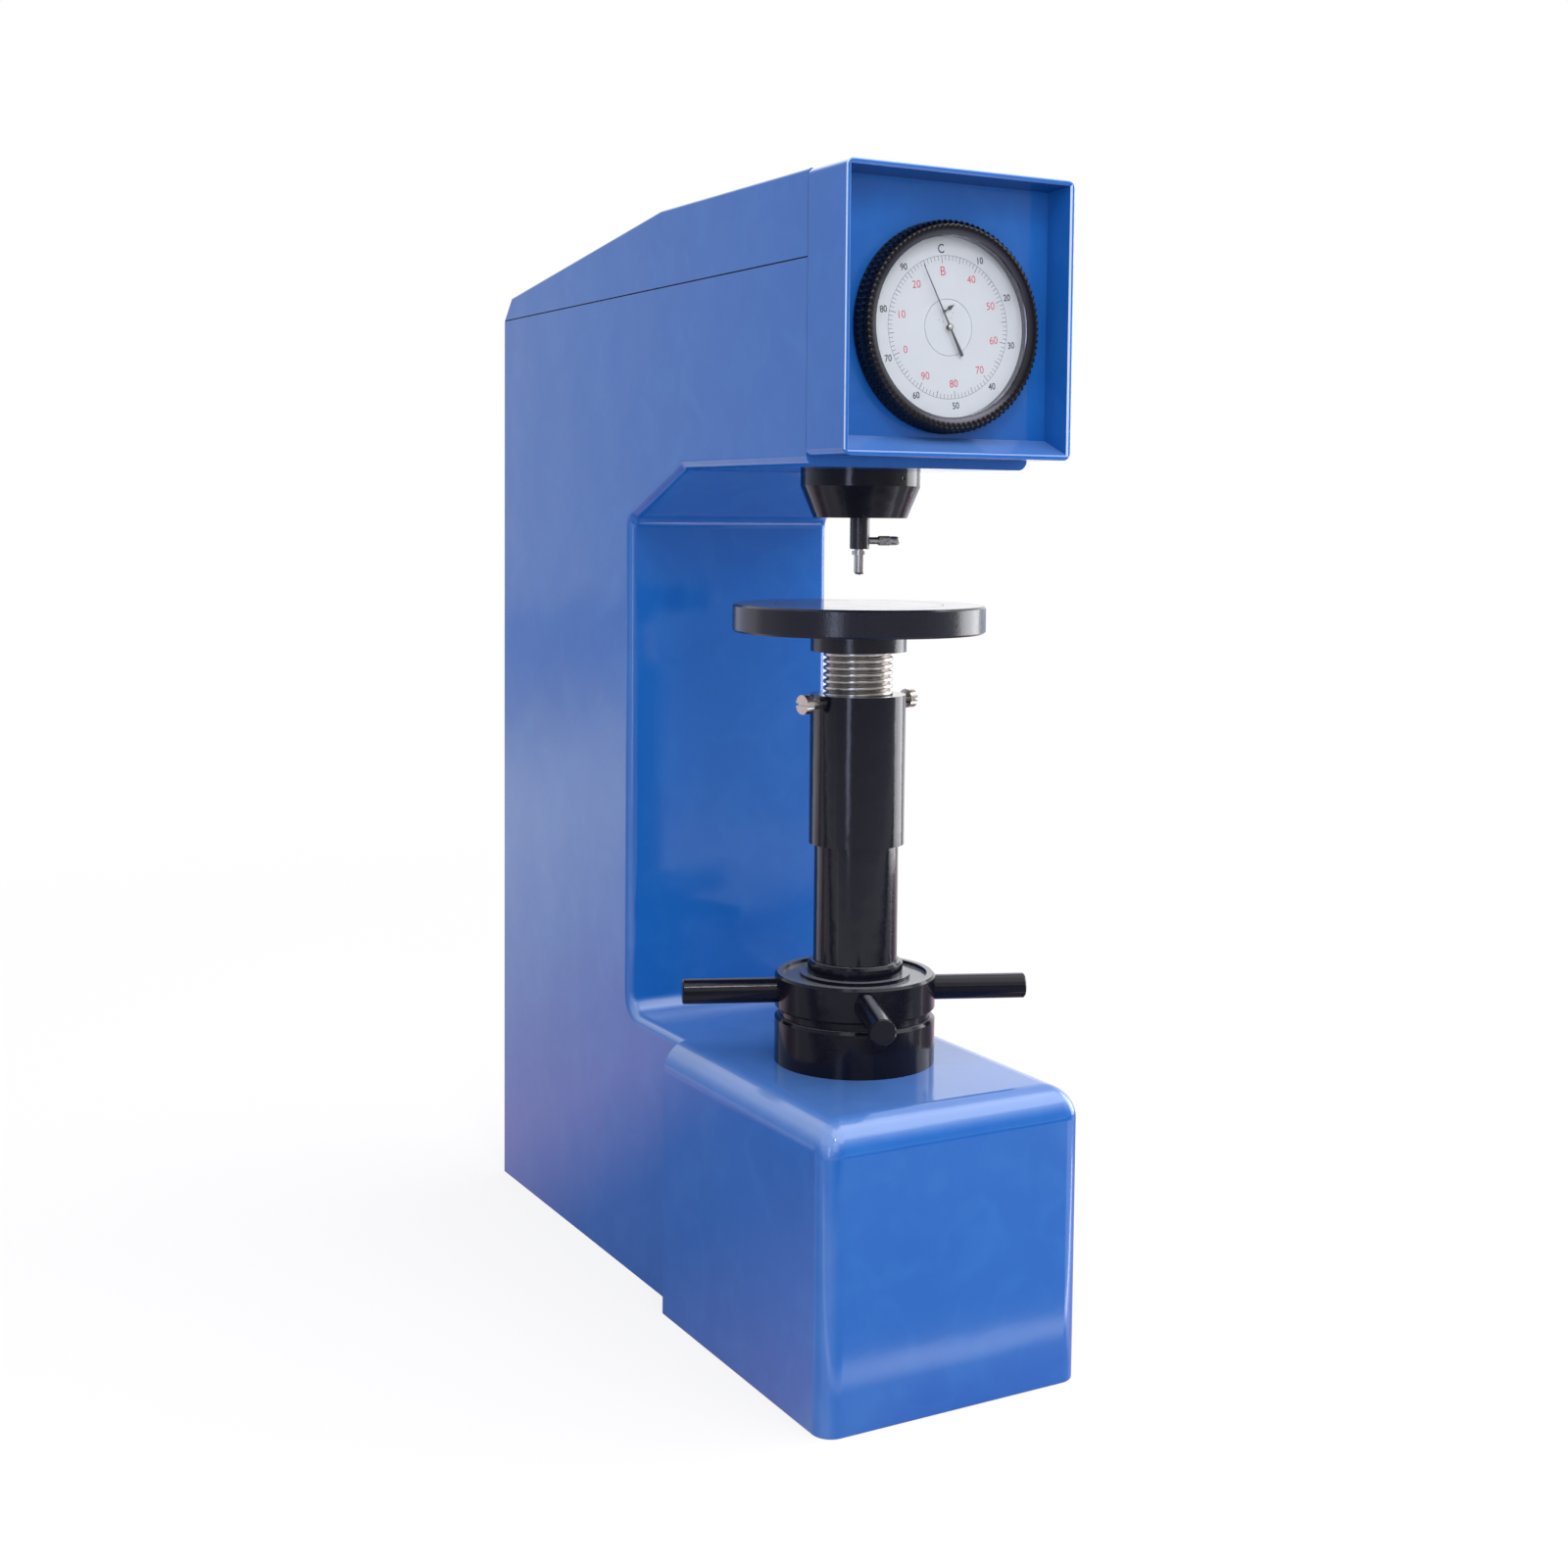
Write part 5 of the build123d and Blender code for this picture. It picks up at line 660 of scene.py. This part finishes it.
rub = add(tree, "ShaderNodeMapRange", {"Value": wear.outputs["Fac"], "To Min": 0.07, "To Max": 0.16})
top = add(tree, "ShaderNodeBsdfPrincipled", {
    "Base Color": face.outputs["Result"], "Metallic": 0.62, "Roughness": rub.outputs["Result"],
    "Specular Tint": linear("#909098"), "Normal": lay.outputs["Normal"]})
nap = add(tree, "ShaderNodeTexNoise", {"Vector": place, "Scale": 1 / 0.0014, "Detail": 3.0})
jet = add(tree, "ShaderNodeMix", {
    "Factor": nap.outputs["Fac"], "A": linear("#0E0E17"), "B": linear("#1A1A26")}, data_type="RGBA")
lustre = add(tree, "ShaderNodeMapRange", {"Value": nap.outputs["Fac"], "To Min": 0.1, "To Max": 0.3})
pimple = add(tree, "ShaderNodeBump", {"Height": nap.outputs["Fac"], "Strength": 0.6, "Distance": 0.00014})
rim = add(tree, "ShaderNodeBsdfPrincipled", {
    "Base Color": jet.outputs["Result"], "Roughness": lustre.outputs["Result"], "IOR": 1.5,
    "Normal": pimple.outputs["Normal"]})
show(tree, add(tree, "ShaderNodeMixShader", {
    0: on_top.outputs[0], 1: rim.outputs[0], 2: top.outputs[0]}))
dress(anvil_steel, "anvil")


# ==== Elevating screw =============================================================================
# A 42 mm screw with a 4 mm pitch, turned and polished, with rounded crests. A keyway up its back
# stops it from turning, and its bored top takes the anvil's stem.
PITCH = 4.0
CREST = 20.75
ROOT = 18.55
SCREW_BOTTOM, SCREW_TOP = 77.0, 416.7
KEYWAY_TOP, KEYWAY_HALF, KEYWAY_FLOOR = 242.0, 4.3, 16.75
BORE, BORE_DEPTH = 12.1, 19.0


def round_z(radius, height, angle):
    """Points round the vertical axis: r cos a across, r sin a back, and the height."""
    radius, height, angle = np.broadcast_arrays(radius, height, angle)
    return np.stack([radius * np.cos(angle), radius * np.sin(angle), height], -1)


# One turn of the thread: how far up the pitch, and how much of the crest stands there.
tooth = np.array([0.0, 0.12, 0.24, 0.37, 0.5, 0.62, 0.74, 0.86])
swell = np.array([0.0, 0.45, 0.88, 1.0, 0.97, 1.0, 0.88, 0.45])
pitches = int((SCREW_TOP - SCREW_BOTTOM) / PITCH) + 3
angle = np.linspace(0, 2 * np.pi, 72, endpoint=False)[None, :]
climb = (np.arange(pitches)[:, None] + tooth).reshape(-1, 1) + angle / (2 * np.pi) - 1.5
height = np.clip(SCREW_BOTTOM + PITCH * climb, SCREW_BOTTOM, SCREW_TOP)
radius = ROOT + (CREST - ROOT) * np.tile(swell, pitches)[:, None] + 0 * angle
radius = np.minimum(radius, CREST - 2.0 + height - SCREW_BOTTOM)
thread = round_z(radius, height, angle)
cut = (np.abs(thread[..., 0]) < KEYWAY_HALF) & (thread[..., 1] > 0) & (height < KEYWAY_TOP)
thread[..., 1] = np.where(cut, np.minimum(thread[..., 1], KEYWAY_FLOOR), thread[..., 1])
bore = round_z(BORE, np.array([[SCREW_TOP], [SCREW_TOP - BORE_DEPTH]]), angle)
screw_threaded = surface("screw_threaded", np.concatenate([thread, bore]), ground_steel, sharp=60)
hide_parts("elevating_screw")
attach(screw_threaded, "screw")

# The bronze guide bush in the base, with the feather key that rides in the keyway.
dress(bronze, "screw_guide_bush")


# ==== Guard tubes =================================================================================
# Two telescoping steel tubes keep grit off the thread. The upper is clamped to the screw by two
# slotted cheese-head screws, the lower stands in the handwheel, and both are black enamelled.
dress(gloss_black, "upper_tube", "lower_tube")
dress(plated_steel, "clamp_screws")


# ==== Handwheel and thrust bearing ================================================================
# The hub turns on a ball thrust bearing inside a plain collar, and drives a bronze nut. Four round
# bars are screwed into it as handles.
handled_black = jet_enamel("black_enamel_dulled_by_hands", ior=1.29)
dress(handled_black, "handwheel_hub", "handwheel_bars", "screw_collar")
dress(bronze, "screw_nut")
dress(ground_steel, "bearing_lower_race", "bearing_upper_race", "bearing_balls")


# ==== Lever system ================================================================================
# Inside the head a forged lever rocks on hardened knife edges, with a sliding poise for its balance.
# Forged and cast inner parts are left in grey primer.
grey_primer, tree, place = finish_named("grey_primer_on_cast_iron")
sand = add(tree, "ShaderNodeTexNoise", {"Vector": place, "Scale": 1 / 0.0015, "Detail": 4.0})
slate = add(tree, "ShaderNodeMix", {
    "Factor": sand.outputs["Fac"], "A": linear("#4B4E52"), "B": linear("#63676B")}, data_type="RGBA")
pits = add(tree, "ShaderNodeBump", {"Height": sand.outputs["Fac"], "Strength": 0.5, "Distance": 0.0002})
show(tree, add(tree, "ShaderNodeBsdfPrincipled", {
    "Base Color": slate.outputs["Result"], "Roughness": 0.7, "Normal": pits.outputs["Normal"]}))
dress(grey_primer, "main_lever", "poise_weight")
dress(gloss_black, "fulcrum_blocks")
dress(ground_steel, "fulcrum_knife", "load_knife", "hanger_knife")


# ==== Hanger and weights ==========================================================================
# A stirrup hangs from the lever's tail and carries three cast weights on its flange.
dress(grey_primer, "hanger", "weight_lower", "weight_middle", "weight_upper")


# ==== Loading gear ================================================================================
# The side lever turns a cam that lowers the lift rod, and an oil dashpot slows it. The lever is
# plated steel with a phenolic ball, and its shaft runs in a flanged bronze bush.
dress(ground_steel, "load_shaft", "load_cam", "lift_rod", "dashpot_piston")
dress(grey_primer, "dashpot_cylinder", "dashpot_cap")
dress(gloss_black, "dashpot_bracket")
dress(bronze, "load_shaft_bush")
dress(plated_steel, "load_lever")
dress(black_phenolic, "load_knob")


# ==== Force selector ==============================================================================
# A fluted phenolic knob on the right turns the cam that picks up the weights.
dress(ground_steel, "selector_shaft", "selector_cam")
dress(bronze, "selector_bush")
dress(black_phenolic, "selector_knob")


# ==== Studio ======================================================================================
# A pale floor, a white surround and five soft lamps. What is seen straight or through glass is white. What
# the gloss mirrors is a darker room with its own tones in the air, and on the table painted reflections:
# tones and bright bands that the floor gives off as light in the gloss only.
FLOOR_NEAR, FLOOR_FAR = -4.0, 3.6
FLOOR_REACH = 9.0
PAINTED_REFLECTION_TONES = [(-4.0, "#A4A4B2"), (-1.6, "#C8C8D2"), (-1.35, "#F4F4FA"), (-1.0, "#F4F4FA"),
               (-0.88, "#50505F"), (-0.64, "#32323F"), (-0.53, "#E8E8EE"), (-0.34, "#CACAD2"),
               (-0.215, "#CACAD2"), (-0.195, "#FFFFFF"), (-0.165, "#FFFFFF"), (-0.15, "#E7C3CE"),
               (-0.05, "#B8A2B0"), (0.06, "#8A8492"), (0.19, "#928CA0"), (0.26, "#C8B0C4"),
               (0.38, "#FFDCEE"), (0.8, "#FFFAFF"), (1.4, "#FFFFFF"), (2.2, "#F4F6FF"), (3.6, "#D0D8FF")]
studio_floor, tree, place = finish_named("pale_studio_paper")
fibre = add(tree, "ShaderNodeTexNoise", {"Vector": place, "Scale": 1 / 0.004, "Detail": 3.0})
paper_tone = add(tree, "ShaderNodeMix", {
    "Factor": fibre.outputs["Fac"], "A": linear("#E9E6EC"), "B": linear("#EEECF0")}, data_type="RGBA")
ray = add(tree, "ShaderNodeLightPath")
bounce_tone = add(tree, "ShaderNodeMix", {
    "Factor": ray.outputs["Is Diffuse Ray"], "A": paper_tone.outputs["Result"], "B": linear("#D2D2DA")},
    data_type="RGBA")
paper = add(tree, "ShaderNodeBsdfDiffuse", {"Color": bounce_tone.outputs["Result"]})
away = add(tree, "ShaderNodeVectorMath", {0: place}, operation="LENGTH")
fade = add(tree, "ShaderNodeMapRange", {
    "Value": away.outputs["Value"], "From Min": 0.5, "From Max": 2.2, "To Min": 0.8, "To Max": 1.0},
    interpolation_type="SMOOTHSTEP")
glow = add(tree, "ShaderNodeEmission", {"Color": linear("#FFFFFF"), "Strength": 1.0})
seen = add(tree, "ShaderNodeMath", {
    0: ray.outputs["Is Camera Ray"], 1: ray.outputs["Is Transmission Ray"]}, operation="MAXIMUM")
share = add(tree, "ShaderNodeMath", {
    0: seen.outputs[0], 1: fade.outputs["Result"]}, operation="MULTIPLY")
lit = add(tree, "ShaderNodeMixShader", {0: share.outputs[0], 1: paper.outputs[0], 2: glow.outputs[0]})
# What the gloss mirrors of it is a painted reflection, given off by the floor as light, by distance from
# front to back in metres: dim in front, a lilac table top, and white further back.
depth = add(tree, "ShaderNodeSeparateXYZ", {"Vector": place})
leftward = add(tree, "ShaderNodeMath", {0: depth.outputs["X"], 1: 0.0}, operation="MINIMUM")
slanted = add(tree, "ShaderNodeMath", {
    0: leftward.outputs[0], 1: 0.8, 2: depth.outputs["Y"]}, operation="MULTIPLY_ADD")
back = add(tree, "ShaderNodeMapRange", {
    "Value": slanted.outputs[0], "From Min": FLOOR_NEAR, "From Max": FLOOR_FAR, "To Min": 0.0, "To Max": 1.0})
mirrored = add(tree, "ShaderNodeValToRGB", {"Fac": back.outputs["Result"]})
stops = [(place_y - FLOOR_NEAR) / (FLOOR_FAR - FLOOR_NEAR) for place_y, code in PAINTED_REFLECTION_TONES]
for stop in stops[1:-1]:
    mirrored.color_ramp.elements.new(stop)
for element, stop, (place_y, code) in zip(mirrored.color_ramp.elements, stops, PAINTED_REFLECTION_TONES):
    element.position = stop
    element.color = linear(code)


def near_to(tree, value, middle, half, soft):
    """One where a value is within half of the middle, falling in a line to nothing over soft."""
    apart = add(tree, "ShaderNodeMath", {0: value, 1: middle}, operation="SUBTRACT")
    away = add(tree, "ShaderNodeMath", {0: apart.outputs[0]}, operation="ABSOLUTE")
    band = add(tree, "ShaderNodeMapRange", {
        "Value": away.outputs[0], "From Min": half + soft, "From Max": half, "To Min": 0.0, "To Max": 1.0})
    return band.outputs[0]


def brighter(tree, light, first, second, gain):
    """The light times one plus first times second times the gain less one."""
    inside = add(tree, "ShaderNodeMath", {0: first, 1: second}, operation="MULTIPLY")
    more = add(tree, "ShaderNodeMath", {
        0: inside.outputs[0], 1: gain - 1, 2: 1.0}, operation="MULTIPLY_ADD")
    lifted = add(tree, "ShaderNodeMath", {0: light, 1: more.outputs[0]}, operation="MULTIPLY")
    return lifted.outputs[0]


# Painted reflections where no cards stand: the floor glows brighter in the gloss alone in three bands, one
# against the base's front, one to its right, and one far back in place of a lit backdrop. Each shows as a
# pale band in the enamel.
across, along = depth.outputs["X"], depth.outputs["Y"]
skew = add(tree, "ShaderNodeMath", {0: along, 1: 0.7, 2: across}, operation="MULTIPLY_ADD").outputs[0]
whole_width = near_to(tree, across, 0.0, FLOOR_REACH, 0.1)
painted_reflection_bands = brighter(tree, 1.0, whole_width, near_to(tree, along, -0.182, 0.006, 0.014), 3.0)
painted_reflection_bands = brighter(
    tree, painted_reflection_bands, near_to(tree, skew, 0.2, 0.16, 0.02), near_to(tree, along, -0.31, 0.17, 0.03), 3.0)
painted_reflection_bands = brighter(tree, painted_reflection_bands, whole_width, near_to(tree, slanted.outputs[0], 1.5, 0.2, 0.8), 1.35)
# The floor glows here with painted reflections, seen by the gloss alone.
table = add(tree, "ShaderNodeEmission", {"Color": mirrored.outputs["Color"], "Strength": painted_reflection_bands})
show(tree, add(tree, "ShaderNodeMixShader", {
    0: ray.outputs["Is Glossy Ray"], 1: lit.outputs[0], 2: table.outputs[0]}))

floor_corners = [(x * FLOOR_REACH, y * FLOOR_REACH, 0) for x, y in ((-1, -1), (1, -1), (1, 1), (-1, 1))]
put_together("studio_floor", floor_corners, [(0, 1, 2, 3)], studio_floor)

# The surround: brighter behind and to the right in what the gloss mirrors, and a cool grey room
# in what the left side mirrors.
world = bpy.data.worlds.new("white_studio")
bpy.context.scene.world = world
world.use_nodes = True
tree = world.node_tree
tree.nodes.clear()
heading = add(tree, "ShaderNodeTexCoord").outputs["Generated"]
facing = add(tree, "ShaderNodeVectorMath", {0: heading, 1: (0.55, 0.83, 0.1)}, operation="DOT_PRODUCT")
mirror_level = add(tree, "ShaderNodeMapRange", {
    "Value": facing.outputs["Value"], "From Min": -0.55, "From Max": 1.0, "To Min": 0.3, "To Max": 1.5})
ray = add(tree, "ShaderNodeLightPath")
level = add(tree, "ShaderNodeMix", {
    "Factor": ray.outputs["Is Glossy Ray"], "A": 0.78, "B": mirror_level.outputs["Result"]},
    data_type="FLOAT")
plain = add(tree, "ShaderNodeMath", {
    0: ray.outputs["Is Camera Ray"], 1: ray.outputs["Is Transmission Ray"]}, operation="MAXIMUM")
strength = add(tree, "ShaderNodeMix", {
    "Factor": plain.outputs[0], "A": level.outputs["Result"], "B": 1.0}, data_type="FLOAT")
sideways = add(tree, "ShaderNodeSeparateXYZ", {"Vector": heading})
leftness = add(tree, "ShaderNodeMapRange", {
    "Value": sideways.outputs["X"], "From Min": -0.1, "From Max": -0.4, "To Min": 0.0, "To Max": 0.5})
mirrored_left = add(tree, "ShaderNodeMath", {
    0: leftness.outputs[0], 1: ray.outputs["Is Glossy Ray"]}, operation="MULTIPLY")
air = add(tree, "ShaderNodeMix", {
    "Factor": mirrored_left.outputs[0], "A": linear("#FFFFFF"), "B": linear("#B4C6F6")}, data_type="RGBA")
surround = add(tree, "ShaderNodeBackground", {
    "Color": air.outputs["Result"], "Strength": strength.outputs["Result"]})
output = add(tree, "ShaderNodeOutputWorld")
tree.links.new(surround.outputs[0], output.inputs["Surface"])


def soft_lamp(name, place, aim, size, power, tint):
    """A soft lamp of a width and height in metres at a place, turned to its aim, in watts."""
    light = bpy.data.lights.new(name, "AREA")
    light.shape = "RECTANGLE"
    light.size, light.size_y = size
    light.energy = power
    light.color = linear(tint)[:3]
    lamp = bpy.data.objects.new(name, light)
    bpy.context.scene.collection.objects.link(lamp)
    lamp.location = place
    lamp.rotation_euler = (Vector(aim) - Vector(place)).to_track_quat("-Z", "Y").to_euler()


soft_lamp("front_softbox", (-0.9, -2.6, 1.6), (0, 0.1, 0.35), (1.6, 1.6), 9, "#FFFDF6")
soft_lamp("right_window", (1.6, -0.1, 0.55), (0, 0.0, 0.4), (1.0, 1.3), 20, "#FBFCFF")
soft_lamp("overhead_softbox", (0.5, -0.6, 1.95), (0, 0.0, 0.3), (2.3, 2.3), 35, "#FFFFFF")
soft_lamp("left_strip", (-1.55, -1.2, 0.6), (0, 0.0, 0.45), (0.3, 1.2), 4.5, "#D4DEFF")
soft_lamp("small_key", (-0.45, -1.3, 1.9), (0, 0.0, 0.4), (0.22, 0.22), 5, "#FFFFFF")

# Camera a little above the anvil, to the left of the front, with a moderately long lens.
EYE = (-0.61778, -1.01557, 0.49875)
lens = bpy.data.cameras.new("camera")
lens.sensor_width = 36.0
lens.lens = 46.088
lens.shift_y = -0.09435
lens.clip_start, lens.clip_end = 0.05, 60.0
yaw, pitch, roll = math.radians(29.18), math.radians(3.55), math.radians(0.51)
ahead = Vector((math.sin(yaw) * math.cos(pitch), math.cos(yaw) * math.cos(pitch), -math.sin(pitch)))
level_right = Vector((math.cos(yaw), -math.sin(yaw), 0))
level_up = level_right.cross(ahead)
right = level_right * math.cos(roll) + level_up * math.sin(roll)
up = right.cross(ahead)
camera = bpy.data.objects.new("camera", lens)
bpy.context.scene.collection.objects.link(camera)
camera.matrix_world = Matrix((
    (right.x, up.x, -ahead.x, EYE[0]),
    (right.y, up.y, -ahead.y, EYE[1]),
    (right.z, up.z, -ahead.z, EYE[2]),
    (0, 0, 0, 1)))
bpy.context.scene.camera = camera
bpy.context.scene.view_settings.view_transform = "Standard"
